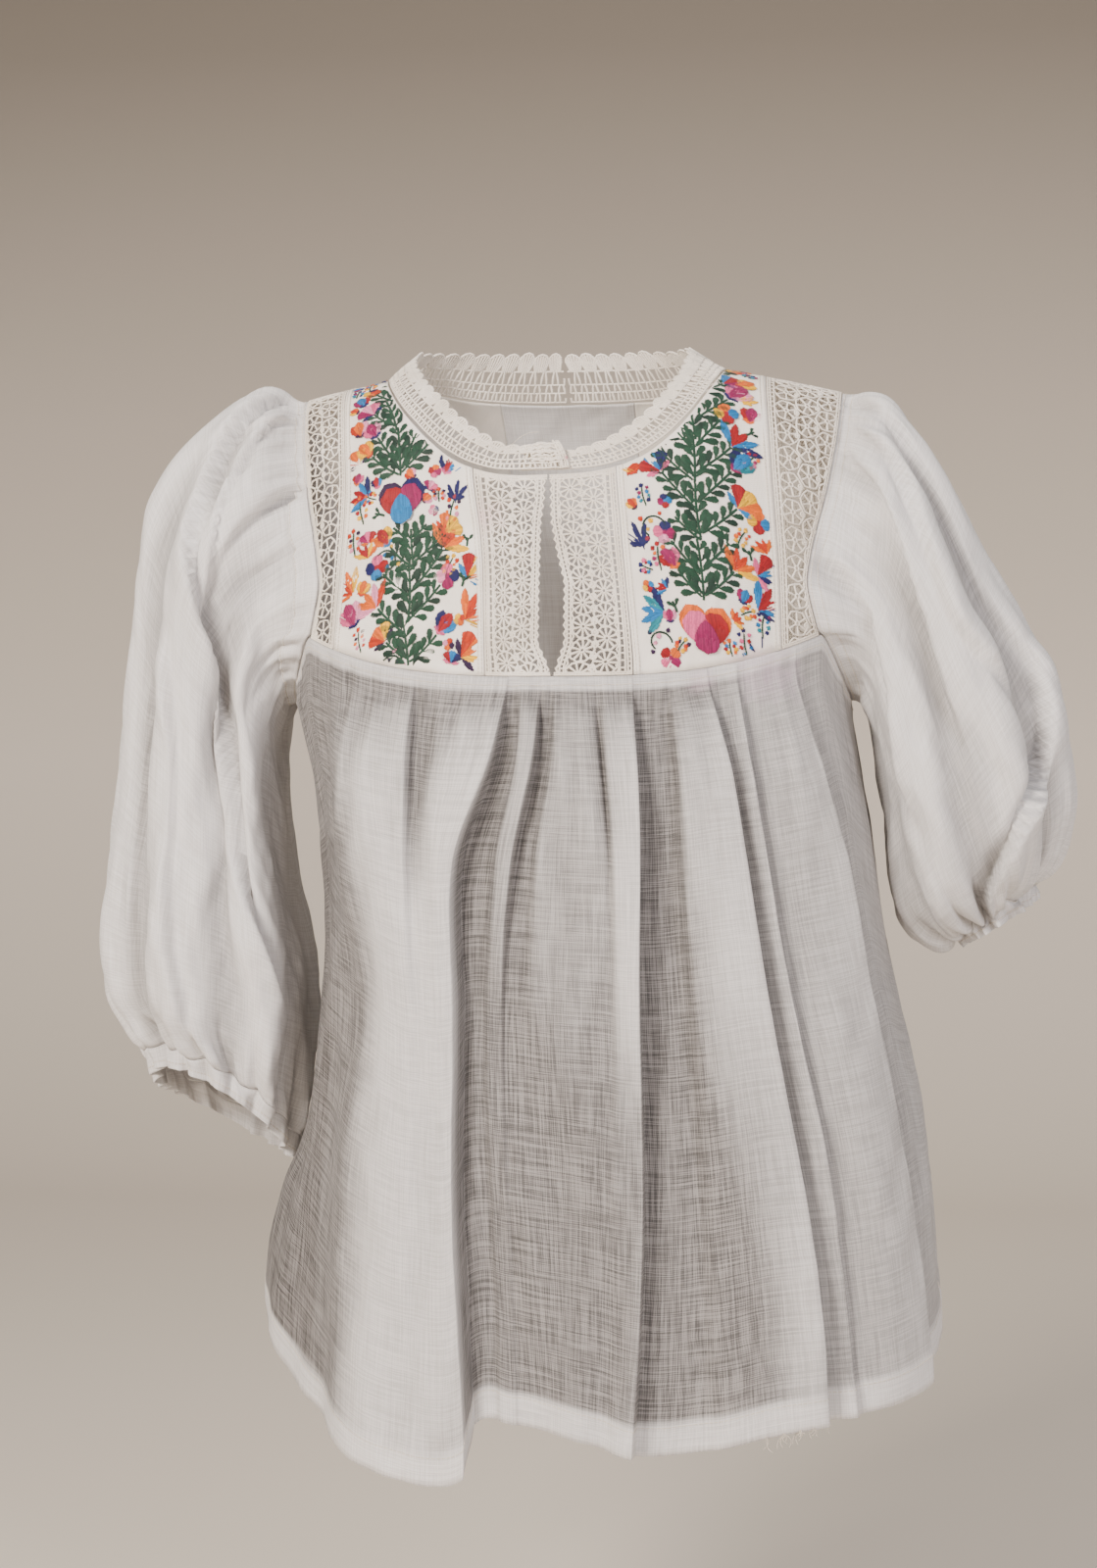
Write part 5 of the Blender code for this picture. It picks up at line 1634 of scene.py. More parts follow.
BAND_SHELL = 10.2
for name, start, end, tab in (
    ("neck_band_right", -BAND_BACK_TURN, BAND_LAP_TURN, True),
    ("neck_band_left", BAND_BACK_TURN, -BAND_LAP_TURN, False),
):
    band = NeckBand(start, end, tab)
    along = np.arange(0.3, band.length, 1.2)
    rows = []
    # Across is a share of the band's height here: rows of chain, with posts that lean between them
    for low, high, pitch, lean in (
        (0.03, 0.2, 2.5, 0.5),
        (0.2, 0.36, 3.3, -0.8),
        (0.36, 0.62, 3.3, 1.0),
    ):
        rows.append((np.stack([np.full(along.shape, low), along], axis=1), 0.66, 0.15))
        for index, down in enumerate(np.arange(0.6, band.length - 1, pitch)):
            slant = lean * (1 if index % 2 else -1)
            post = [(low, down), ((low + high) / 2, down + slant * 0.3), (high, down + slant)]
            rows.append((np.array(post), np.array([0.6, 0.85, 0.62]), 0.0))
    rows.append((np.stack([np.full(along.shape, 0.62), along], axis=1), 0.7, 0.2))
    rim_draw = np.random.default_rng(31 + tab)
    for foot in np.arange(BAND_SHELL / 2 + 0.2, band.length - BAND_SHELL / 2, BAND_SHELL):
        foot += rim_draw.uniform(-0.4, 0.4)
        tall = rim_draw.uniform(0.16, 0.21)
        angles = np.linspace(-1.3, 1.3, 8)
        aside = foot + 0.52 * BAND_SHELL * np.sin(angles)
        tips = np.stack([0.77 + tall * np.cos(angles), aside], axis=1)
        for tip in tips:
            post = np.array([(0.62, foot + (tip[1] - foot) * 0.6), tip])
            rows.append((post, np.array([0.75, 0.8]), 0.1))
        arc = np.linspace(-pi / 2, pi / 2, 7)
        rim = 0.8 + (tall - 0.01) * np.cos(arc)
        scallop = np.stack([rim, foot + 0.52 * BAND_SHELL * np.sin(arc)], axis=1)
        rows.append((scallop, 0.78, 0.15))
    rows.append((np.stack([0.8 + 0.01 * np.sin(along), along], axis=1), 0.62, 0.2))
    if tab:
        # The cut end is bound over, and the rows beside it are doubled
        for inset in (0.7, 2.1, 3.6):
            places = np.linspace(0.03, 0.98, 9)
            rows.append((np.stack([places, np.full(9, band.length - inset)], axis=1), 0.85, 0.5))
        for high in (0.28, 0.44, 0.56, 0.74, 0.88):
            late = np.arange(band.length - 19, band.length - 0.6, 1.4)
            rows.append((np.stack([high + 0.03 * np.sin(late * 1.3), late], axis=1), 0.8, 0.7))
    lace = lay_yarns(name + "_yarns", band, rows, 1.0, False, name)

# Embroidery: satin stitch in stranded cotton on the four cream panels. Leafy stems with paired
# leaves carry tulips, bells, pansies and berries round one three-lobed bloom. The layout is this
# script's own; every stitch is a raised thread laid over the cloth.

SILKS = {
    "green": "#133F2A",
    "dark_green": "#0A2E20",
    "crimson": "#980512",
    "magenta": "#8E0A50",
    "pink": "#D85A88",
    "light_pink": "#E48FB0",
    "orange": "#DB6200",
    "coral": "#BC3000",
    "yellow": "#EAB000",
    "sky": "#0572B0",
    "teal": "#0C7D8C",
    "navy": "#0D1152",
    "purple": "#2A0838",
}
STITCH_PITCH = 0.62
STITCH_RISE = 0.55
LONGEST_STITCH = 8.0
FLOWER_SCALE = 1.4
SIDE_STEM_SCALE = 1.15
# Motifs that fill bare ground: the room they need, from the panel's edge too, and their size
FILL_ROOM = 4.6
FILL_EDGE = 7.0
FILL_TRIES = 900
FILL_LARGEST = 9.0
FILL_SCALE = 1.45
# Half a thread's width as a share of the pitch, and how far its cuts and its ends stray
FLOSS_SHARE = 0.56
CUT_STRAY = 1.6
END_STRAY = 0.22
# Stem stitches: half width, distance between them, length and slant
STEM_HALF_WIDTH = 0.68
STEM_STEP = 1.5
STEM_REACH = 2.5
STEM_SLANT = 0.08
# Leaves: length, width as a share of it, first place on the stem, spacing and lean in degrees
LEAF_LENGTH = 11.4
LEAF_WIDTH = 0.5
LEAF_START = 3.6
LEAF_SPACING = 6.3
LEAF_LEAN = 40


class Needle:
    """Collects threads, each from one point to another in mm across and down a panel."""

    def __init__(self, seed, pitch):
        self.draw = np.random.default_rng(seed)
        self.pitch = pitch
        self.threads = []

    def stitch(self, start, end, half_width, colour, rise=STITCH_RISE):
        self.threads.append((*start, *end, half_width, rise, *linear(SILKS[colour])[:3]))

    def satin(self, outline, way, colour, rise=STITCH_RISE):
        """Fills an outline with threads laid side by side along way, in radians."""
        turned = np.array([[np.cos(way), np.sin(way)], [-np.sin(way), np.cos(way)]])
        local = np.asarray(outline) @ turned.T
        after = np.roll(local, -1, axis=0)
        for level in np.arange(local[:, 1].min() + 0.1, local[:, 1].max(), self.pitch):
            crossed = (local[:, 1] > level) != (after[:, 1] > level)
            low, high = local[crossed], after[crossed]
            run = (high[:, 0] - low[:, 0]) * (level - low[:, 1])
            hits = np.sort(low[:, 0] + run / (high[:, 1] - low[:, 1]))
            for first, last in zip(hits[::2], hits[1::2]):
                pieces = max(int((last - first) / LONGEST_STITCH + 0.7), 1)
                cuts = np.linspace(first, last, pieces + 1)
                cuts[1:-1] += self.draw.uniform(-CUT_STRAY, CUT_STRAY, pieces - 1)
                cuts[[0, -1]] += self.draw.uniform(-END_STRAY, END_STRAY, 2)
                for one, other in zip(cuts[:-1], cuts[1:]):
                    ends = np.array([[one, level], [other, level]]) @ turned
                    self.stitch(ends[0], ends[1], self.pitch * FLOSS_SHARE, colour, rise)

    def stem(self, path, colour="green", half_width=STEM_HALF_WIDTH):
        """Overlapping slanted stitches along a path."""
        path = np.asarray(path)
        lengths = np.concatenate([[0], np.cumsum(np.linalg.norm(np.diff(path, axis=0), axis=1))])
        for at in np.arange(0, lengths[-1], STEM_STEP):
            ends = [
                np.array([np.interp(a, lengths, path[:, k]) for k in (0, 1)])
                for a in (at, at + STEM_REACH)
            ]
            slant = (ends[1] - ends[0])[::-1] * (STEM_SLANT, -STEM_SLANT)
            self.stitch(ends[0] + slant, ends[1] - slant, half_width, colour)


def petal_outline(base, turn, length, width, fullness=0.62, count=9, club=0.6):
    """A rounded petal or leaf from its base; turn is 90 degrees when it points up the panel."""
    along = np.concatenate([np.linspace(0, 1, count), np.linspace(1, 0, count)[1:-1]])
    side = np.concatenate([np.ones(count), -np.ones(count - 2)])
    rounded = np.maximum(np.sin(pi * along), 0) ** fullness
    half = side * width / 2 * rounded * (1.2 - club + club * along)
    ahead, aside = along * length, half
    angle = np.radians(turn)
    across = base[0] + ahead * np.cos(angle) - aside * np.sin(angle)
    return np.stack([across, base[1] - ahead * np.sin(angle) - aside * np.cos(angle)], axis=1)


def wedge_outline(base, turn, radius, spread, bulge=0.12):
    """A sector of a fan with a rounded outer edge, of a spread in degrees."""
    angles = np.radians(np.linspace(turn - spread / 2, turn + spread / 2, 7))
    reach = radius * (1 + bulge * np.cos(np.linspace(-pi / 2, pi / 2, 7)))
    tip = np.stack([base[0] + reach * np.cos(angles), base[1] - reach * np.sin(angles)], axis=1)
    return np.concatenate([[base], tip])


def ahead_of(base, turn, reach):
    return np.array(base) + reach * np.array([np.cos(np.radians(turn)), -np.sin(np.radians(turn))])


def leaf(needle, base, turn, length):
    shade = "dark_green" if needle.draw.random() < 0.3 else "green"
    outline = petal_outline(base, turn, length, length * LEAF_WIDTH, 0.42, club=0.95)
    needle.satin(outline, -np.radians(turn + 28), shade)


def spray(needle, base, turn, length, bend, leaf_length=LEAF_LENGTH):
    """A bending stem with paired leaves; returns its tip and the turn there."""
    steps = np.linspace(0, 1, 9)
    turns = np.radians(turn + bend * steps)
    path = np.array(base) + np.cumsum(
        np.stack([np.cos(turns), -np.sin(turns)], axis=1) * length / 8, axis=0
    ) - np.stack([np.cos(turns), -np.sin(turns)], axis=1)[0] * length / 8
    needle.stem(path)
    for at in np.arange(LEAF_START, length - 1.0, LEAF_SPACING):
        share = at / length
        foot = np.array([np.interp(share, steps, path[:, k]) for k in (0, 1)])
        way = turn + bend * share
        size = leaf_length * (1 - 0.35 * share) * needle.draw.uniform(0.88, 1.08)
        for side in (1, -1):
            leaf_turn = way + side * LEAF_LEAN + needle.draw.uniform(-5, 5)
            leaf(needle, ahead_of(foot, way + side * 90, 0.3), leaf_turn, size)
    return path[-1], turn + bend


def tulip(needle, base, turn, size, colours):
    """Three petals side by side on a small cup."""
    foot = ahead_of(base, turn, size * 0.08)
    petals = ((26, colours[0], 0.95), (-26, colours[1], 0.95), (0, colours[2], 1.0))
    for lean, colour, share in petals:
        outline = petal_outline(foot, turn + lean, size * share, size * 0.56)
        rise = STITCH_RISE * (1.2 if lean == 0 else 1)
        needle.satin(outline, -np.radians(turn + lean * 1.1), colour, rise)
    cup = wedge_outline(base, turn, size * 0.36, 130)
    needle.satin(cup, -np.radians(turn + 90), colours[3])


def bell(needle, base, turn, size, colours):
    """A fan of three wedges, with two pointed petals beside it."""
    for lean, colour in ((-38, colours[0]), (0, colours[1]), (38, colours[2])):
        outline = wedge_outline(base, turn + lean, size * 0.86, 40)
        needle.satin(outline, -np.radians(turn + lean), colour)
    for lean in (-74, 74):
        outline = petal_outline(base, turn + lean, size * 0.7, size * 0.24, 1.0)
        needle.satin(outline, -np.radians(turn + lean), colours[3])


def spiky(needle, base, turn, size, colours):
    """Five narrow petals that spread from the stem."""
    for index, lean in enumerate((-58, 58, -30, 30, 0)):
        length = size * (1.12 - 0.1 * (index // 2))
        outline = petal_outline(base, turn + lean, length, size * 0.32, 0.85)
        needle.satin(outline, -np.radians(turn + lean), colours[(index // 2 + index % 2) % 4])


def pansy(needle, base, turn, size, colours):
    """Four round petals about a middle knot."""
    middle = ahead_of(base, turn, size * 0.42)
    for index in range(4):
        way = turn + 45 + 90 * index
        outline = petal_outline(middle, way, size * 0.56, size * 0.56, 0.45)
        needle.satin(outline, -np.radians(way + 12), colours[index])
    berry(needle, middle, size * 0.13, colours[2])


def berry(needle, middle, radius, colour):
    around = np.linspace(0, 2 * pi, 11)[:-1]
    outline = np.array(middle) + radius * np.stack([np.cos(around), np.sin(around)], axis=1)
    needle.satin(outline, needle.draw.uniform(0.3, 1.2), colour)


def berries(needle, base, turn, size, colours):
    """A short stem with round berries on both sides and one at the tip."""
    path = [base, ahead_of(base, turn + 6, size * 0.55), ahead_of(base, turn, size)]
    needle.stem(path, half_width=0.4)
    for index, share in enumerate((0.3, 0.52, 0.74, 0.96)):
        for side in (-1, 1):
            foot = ahead_of(base, turn, size * share)
            middle = ahead_of(foot, turn + 90 * side, 2.3 + 0.8 * (index % 2))
            berry(needle, middle, needle.draw.uniform(1.0, 1.5), colours[(index + (side > 0)) % 4])
    berry(needle, ahead_of(base, turn, size * 1.12), 1.4, colours[0])


def tendril(needle, base, turn, size, colours):
    """A stem that curls over, with berries hung from the curl."""
    steps = np.linspace(0, 1, 12)
    turns = np.radians(turn - 215 * steps**1.3 * np.sign(np.cos(np.radians(turn)) + 0.01))
    moves = np.stack([np.cos(turns), -np.sin(turns)], axis=1) * size * 1.9 / 12
    path = np.array(base) + np.cumsum(moves, axis=0)
    needle.stem(path, "dark_green", 0.5)
    for index in (3, 5, 7, 9, 11):
        out = moves[index][::-1] * (1, -1) / np.linalg.norm(moves[index])
        middle = path[index] + out * (2.6 if index % 4 == 1 else -2.4)
        berry(needle, middle, needle.draw.uniform(1.1, 1.7), colours[index % 4])


def sprig(needle, base, turn, size, colours):
    """A branched sprig of thick straight strokes in one colour."""
    for lean, share in ((0, 1.0), (34, 0.72), (-30, 0.78), (58, 0.45), (-56, 0.4)):
        foot = ahead_of(base, turn, size * 0.14 * (lean != 0))
        outline = petal_outline(foot, turn + lean, size * share, size * 0.17, 0.4)
        needle.satin(outline, -np.radians(turn + lean), colours[0])


def bloom(needle, base, turn, size, colours):
    """The large flower: two upper lobes with caps of a second colour, and a lower lobe."""
    for side, colour, cap in ((-1, colours[0], colours[3]), (1, colours[1], colours[4])):
        foot = ahead_of(base, turn + 180, size * 0.72)
        way = turn + 25 * side
        outer = petal_outline(foot, way, size * 1.66, size * 1.12, 0.52)
        needle.satin(outer, -np.radians(turn - 12 * side), cap)
        inner = petal_outline(foot, way, size * 1.38, size * 1.06, 0.52)
        needle.satin(inner, -np.radians(turn - 8 * side), colour, STITCH_RISE * 1.5)
    foot = ahead_of(base, turn, size * 0.22)
    lower = petal_outline(foot, turn + 180, size * 1.22, size * 0.98, 0.5)
    needle.satin(lower, -np.radians(turn), colours[2], STITCH_RISE * 1.9)


MOTIFS = {
    "tulip": tulip,
    "bell": bell,
    "spiky": spiky,
    "pansy": pansy,
    "berries": berries,
    "tendril": tendril,
    "sprig": sprig,
    "bloom": bloom,
}
MIXES = {
    "a": ("magenta", "crimson", "sky", "navy", "purple"),
    "b": ("crimson", "pink", "magenta", "orange", "orange"),
    "c": ("yellow", "orange", "coral", "purple"),
    "d": ("pink", "light_pink", "magenta", "navy"),
    "e": ("orange", "yellow", "crimson", "sky"),
    "f": ("navy", "sky", "crimson", "pink"),
    "g": ("coral", "light_pink", "orange", "purple"),
    "h": ("navy", "teal", "sky", "magenta"),
    "i": ("yellow", "yellow", "orange", "coral"),
}
# Stems: mm from the panel's middle and down it, turn, length, bend, then the flower at the tip
# (motif, size, mix) or none. The first table has its bloom in the upper part, the second low down.
UPPER_STEMS = (
    (3, 246, 96, 34, 6, None),
    (1, 214, 84, 34, 14, None),
    (3, 182, 98, 22, -6, None),
    (2, 236, 152, 17, -20, ("bell", 9, "c")),
    (3, 238, 30, 20, 22, ("tulip", 10, "f")),
    (0, 222, 140, 24, -8, ("spiky", 11, "g")),
    (1, 214, 40, 25, 10, ("pansy", 10, "d")),
    (2, 200, 146, 22, -14, ("pansy", 10, "f")),
    (3, 196, 44, 26, 12, ("spiky", 11, "c")),
    (4, 184, 150, 20, -26, ("tulip", 9, "e")),
    (3, 180, 32, 22, 16, ("bell", 9, "i")),
    (0, 168, 128, 15, 10, None),
    (2, 168, 52, 14, -8, None),
    (-4, 126, 90, 34, 4, None),
    (-5, 125, 148, 21, -20, ("tulip", 9, "i")),
    (-3, 124, 38, 22, 12, ("pansy", 9, "h")),
    (-5, 120, 122, 24, -4, ("tulip", 9, "d")),
    (-2, 118, 62, 26, 6, None),
    (-6, 94, 100, 28, 10, None),
    (-7, 90, 150, 17, -24, ("bell", 9, "d")),
    (-6, 86, 42, 18, 10, ("spiky", 9, "g")),
    (-9, 68, 140, 15, -12, ("pansy", 8, "c")),
    (-12, 62, 84, 22, 12, ("tulip", 10, "f")),
    (-10, 58, 40, 15, 6, ("tulip", 8, "e")),
)
UPPER_LOOSE = (
    ("bloom", -4, 141, 90, 15.5, "a"),
    ("tendril", -24, 176, 60, 11, "e"),
    ("berries", 26, 160, 78, 12, "g"),
    ("sprig", 30, 146, 80, 11, "h"),
    ("tulip", 24, 128, 64, 10, "f"),
    ("berries", -30, 150, 96, 11, "e"),
    ("spiky", -26, 134, 150, 9, "f"),
    ("tulip", -34, 210, 118, 11, "d"),
    ("spiky", -37, 190, 140, 11, "c"),
    ("berries", -36, 168, 94, 10, "g"),
    ("bell", 38, 190, 50, 11, "e"),
    ("spiky", 38, 214, 36, 12, "c"),
    ("bell", 36, 236, 30, 12, "c"),
    ("berries", 24, 190, 70, 9, "i"),
    ("tendril", -18, 240, 70, 11, "g"),
    ("berries", -30, 226, 100, 9, "g"),
    ("bell", -31, 112, 118, 9, "c"),
    ("tulip", -30, 92, 100, 9, "g"),
    ("tulip", -28, 66, 110, 8, "a"),
    ("berries", -26, 46, 90, 9, "e"),
    ("spiky", -6, 34, 96, 11, "h"),
    ("tendril", -18, 26, 40, 9, "c"),
    ("berries", 4, 52, 60, 8, "i"),
)
LOWER_STEMS = (
    (0, 207, 88, 36, 8, None),
    (1, 172, 98, 34, -12, None),
    (0, 138, 84, 30, 10, None),
    (2, 110, 96, 30, 4, None),
    (-1, 205, 140, 18, -18, ("tulip", 9, "b")),
    (1, 204, 36, 22, 14, ("spiky", 10, "c")),
    (-1, 192, 134, 22, -8, ("pansy", 9, "d")),
    (1, 188, 42, 24, 8, None),
    (1, 172, 146, 20, -16, None),
    (2, 168, 34, 25, 12, ("bell", 11, "e")),
    (0, 154, 136, 26, -10, ("bell", 10, "f")),
    (1, 150, 44, 27, 6, ("tulip", 11, "h")),
    (-1, 136, 142, 28, -12, ("spiky", 12, "b")),
    (1, 132, 36, 26, 14, ("spiky", 12, "f")),
    (1, 118, 130, 22, -6, ("pansy", 10, "f")),
    (2, 114, 50, 22, 8, ("pansy", 10, "e")),
    (1, 100, 140, 20, -8, None),
    (2, 96, 40, 24, 12, ("tulip", 12, "d")),
    (3, 80, 92, 20, 6, ("tulip", 11, "b")),
    (3, 78, 150, 18, -20, ("tulip", 9, "c")),
    (4, 74, 34, 17, 16, ("bell", 10, "a")),
    (5, 52, 80, 20, 16, ("spiky", 10, "h")),
    (5, 48, 30, 16, 6, ("pansy", 8, "i")),
)
LOWER_LOOSE = (
    ("bloom", 0, 222, 90, 16, "b"),
    ("sprig", 33, 240, 88, 14, "h"),
    ("berries", 25, 238, 98, 12, "f"),
    ("spiky", -24, 214, 172, 11, "h"),
    ("tendril", -20, 234, 100, 10, "g"),
    ("pansy", -22, 246, 90, 9, "b"),
    ("sprig", -33, 178, 112, 13, "h"),
    ("spiky", 32, 206, 28, 12, "f"),
    ("berries", 34, 222, 84, 10, "h"),
    ("bell", 33, 186, 20, 11, "f"),
    ("berries", -24, 190, 96, 10, "b"),
    ("pansy", 32, 158, 40, 9, "e"),
    ("tendril", -18, 166, 110, 11, "i"),
    ("berries", 22, 172, 62, 8, "i"),
    ("berries", 30, 124, 60, 8, "b"),
    ("berries", -30, 152, 100, 8, "h"),
    ("tulip", -34, 132, 130, 12, "i"),
    ("sprig", 30, 78, 60, 9, "i"),
    ("tulip", 26, 60, 40, 9, "i"),
    ("berries", 22, 36, 50, 10, "b"),
    ("spiky", 6, 30, 100, 11, "a"),
    ("berries", -4, 62, 120, 9, "g"),
)


def fill_ground(needle, strip, edge=FILL_EDGE, tries=FILL_TRIES):
    """Small motifs wherever the ground is still bare, at places drawn at random."""
    kinds = ("tulip", "berries", "spiky", "leaf", "pansy", "tulip", "berries", "bell", "leaf")
    for _ in range(tries):
        down = needle.draw.uniform(34, strip.length - 6)
        half = float(strip.width_at(np.array([down]))[0]) / 2 - edge
        across = needle.draw.uniform(-half, half)
        spot = np.array([0.5 + across / (2 * (half + edge))])
        if not strip.inside(spot, np.array([down]), edge)[0]:
            continue
        laid = np.array([thread[:4] for thread in needle.threads])
        middles = (laid[:, :2] + laid[:, 2:]) / 2
        away = np.hypot(*(middles - (across, down)).T)
        room = away.min()
        if room < FILL_ROOM:
            continue
        kind = kinds[needle.draw.integers(len(kinds))]
        turn = 90 + needle.draw.uniform(-50, 50) - 30 * across / half
        size = min(room, FILL_LARGEST) * FILL_SCALE
        mix = MIXES["abcdefghi"[needle.draw.integers(9)]]
        base = ahead_of((across, down), turn + 180, size * 0.5)
        if kind == "leaf":
            spray(needle, base, turn, size * 0.8, 10, 6.5)
        else:
            MOTIFS[kind](needle, base, turn, size, mix)


def embroider(strip, stems, loose, side, seed, pitch):
    """All threads of a panel; side is -1 to turn the layout left to right."""
    needle = Needle(seed, pitch)
    for across, down, turn, length, bend, flower in stems:
        reach = length * (SIDE_STEM_SCALE if flower else 1)
        tip, way = spray(needle, (across, down), turn, reach, bend)
        if flower:
            motif, size, mix = flower
            MOTIFS[motif](needle, ahead_of(tip, way, 0.6), way, size * FLOWER_SCALE, MIXES[mix])
    for motif, across, down, turn, size, mix in loose:
        scale = 1 if motif == "bloom" else FLOWER_SCALE
        MOTIFS[motif](needle, (across, down), turn, size * scale, MIXES[mix])
    fill_ground(needle, strip)
    threads = np.array(needle.threads)
    threads[:, [0, 2]] *= side
    width = strip.width_at(np.clip(threads[:, [1, 3]], 0, strip.length))
    places = 0.5 + threads[:, [0, 2]] / width
    shown = strip.inside(places, threads[:, [1, 3]], 2.0).all(axis=1)
    return threads[shown]


def thread_mesh(name, strip, threads, material):
    """Each thread as a low ridge that rises from the cloth and goes back into it."""
    share = np.array([0.0, 0.2, 0.8, 1.0])[None, :, None]
    aside = np.array([-1.0, 0.0, 1.0])[None, None, :]
    crest = np.array([[0.0, 0.1, 0.0], [0.35, 1.0, 0.35], [0.35, 1.0, 0.35], [0.0, 0.1, 0.0]])
    start, end = threads[:, None, None, 0:2], threads[:, None, None, 2:4]
    way = threads[:, 2:4] - threads[:, 0:2]
    way /= np.linalg.norm(way, axis=1, keepdims=True) + 1e-9
    # Threads that run up and threads that run down the panel are wound the same way
    normal = np.stack([-way[:, 1], way[:, 0]], axis=1)[:, None, None, :]
    half = threads[:, 4][:, None, None, None]
    spot = start + (end - start) * share[..., None] + normal * half * aside[..., None]
    down = spot[..., 1]
    place = 0.5 + spot[..., 0] / strip.width_at(down)
    # Stitches worked over others start above them
    rise = threads[:, 5][:, None, None]
    points = strip.lay(place, down, 0.25 + 2.5 * (rise - STITCH_RISE) + crest[None] * STITCH_RISE)
    count = len(threads)
    first = np.arange(count)[:, None, None] * 12
    row, column = np.mgrid[0:3, 0:2]
    corner = first + (row * 3 + column)[None]
    faces = np.stack([corner, corner + 1, corner + 4, corner + 3], axis=-1).reshape(-1, 4)
    if strip.behind:
        faces = faces[:, ::-1]
    mesh = bpy.data.meshes.new(name)
    mesh.from_pydata((points.reshape(-1, 3) * MM).tolist(), [], faces.tolist())
    draw = np.random.default_rng(len(threads))
    shade = draw.uniform(0.66, 1.14, (count, 1))
    tone = np.concatenate([np.clip(threads[:, 6:9] * shade, 0, 1), np.ones((count, 1))], axis=1)
    silk = mesh.color_attributes.new("silk", "FLOAT_COLOR", "POINT")
    silk.data.foreach_set("color", np.repeat(tone, 12, axis=0).astype(np.float32).ravel())
    mesh.materials.append(material)
    mesh.shade_smooth()
    stitched = bpy.data.objects.new(name, mesh)
    bpy.context.scene.collection.objects.link(stitched)
    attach(stitched, "root")
    return stitched


# Stranded cotton: dyed six-strand floss, softly lustrous along the stitch
floss, floss_shader = new_material("stranded_cotton_floss")
floss_place = add_node(floss, "ShaderNodeTexCoord").outputs["Object"]
floss_strands = add_node(floss, "ShaderNodeTexNoise", Vector=floss_place, Scale=1400.0, Detail=2.0)
floss_fac = floss_strands.outputs["Fac"]
floss_shade = add_node(floss, "ShaderNodeMapRange", _0=floss_fac, _1=0.3, _2=0.7, _3=0.8, _4=1.08)
floss_dye = add_node(floss, "ShaderNodeAttribute", {"attribute_name": "silk"})
floss_tone = add_node(
    floss,
    "ShaderNodeVectorMath",
    {"operation": "SCALE"},
    Vector=floss_dye.outputs["Color"],
    Scale=floss_shade.outputs[0],
)
floss_finish = {"Roughness": 0.6, "Specular IOR Level": 0.35, "Sheen Weight": 0.15}
finish(floss, floss_shader, floss_tone.outputs[0], **floss_finish)

# The back panels aren't seen from the front, so their stitches are laid further apart
BACK_PITCH = 0.92
for name, left, right, behind, stems, loose, side, seed, pitch in (
    ("front_right", OUTER_R, INNER_R, False, UPPER_STEMS, UPPER_LOOSE, 1, 5, STITCH_PITCH),
    ("front_left", INNER_L, OUTER_L, False, LOWER_STEMS, LOWER_LOOSE, 1, 8, STITCH_PITCH),
    ("back_right", OUTER_R, INNER_R, True, LOWER_STEMS, LOWER_LOOSE, -1, 13, BACK_PITCH),
    ("back_left", INNER_L, OUTER_L, True, UPPER_STEMS, UPPER_LOOSE, -1, 21, BACK_PITCH),
):
    strip = LaidStrip(left, right, behind)
    threads = embroider(strip, stems, loose, side, seed, pitch)
    thread_mesh("satin_stitches_" + name, strip, threads, floss)


# Cuffs: the sleeves' lower edges, gathered and turned up into a narrow band of doubled muslin.
# Their puckers go on from the sleeves' own gathers, a thread's width below the seam.
CUFF_SEAM_SHARE = 0.02
CUFF_SEAM_GAP = 0.35
CUFF_SHEER_AND_SHADE = 0.1
CUFF_WALL = 1.0
cuff_rings = {}
for name, table, side, seed, cut in (
    ("cuff_right", CUFF_RIGHT, -1, 71, (0.31, 0.016)),
    ("cuff_left", CUFF_LEFT, 1, 73, (0.26, 0.011)),
):
    angles = np.arange(RING_COLUMNS) * 360 / RING_COLUMNS
    rings = np.array([ring_points(row, angles, side, np.zeros(RING_COLUMNS)) for row in table])
    rings[0] += (rings[1] - rings[0]) * CUFF_SEAM_SHARE
    points, along = through_rings(rings, 7)
    around = lay_out(points, True)[0][None, :-1]
    crumple = 0.9 * waves(seed, 8, around, 12 * along[:, None], 8, 30)
    closing = soft_step(0, 8, np.minimum(around, around.max() - around))
    puckers = CUFF_PUCKER * cuff_gathers(angles, side) + crumple * closing * along[:, None]
    points = points + ring_normals(points) * puckers[..., None]
    # The first ring follows the sleeve's last one, a thread's width below it
    seam = sleeves[name.replace("cuff", "sleeve")][-1]
    fall = points[1] - points[0]
    seam = seam + CUFF_SEAM_GAP * fall / np.linalg.norm(fall, axis=1, keepdims=True)
    points = points + (seam - points[0]) * (1 - soft_step(0, 0.7, along))[:, None, None]
    cuff_rings[name] = points
    tints = {"sheer_and_shade": CUFF_SHEER_AND_SHADE}
    cuff = make_cloth(
        name + "_cloth", points, muslin, closed=True, flip=side > 0, tints=tints, wall=CUFF_WALL
    )
    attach(cuff, "root")
    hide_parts(name)

# Stitching: rows of small running stitches in ecru thread, along the pleats' seam band, the hem,
# the folded edges of the panels, the armholes and the cuffs. One tree lays every row.

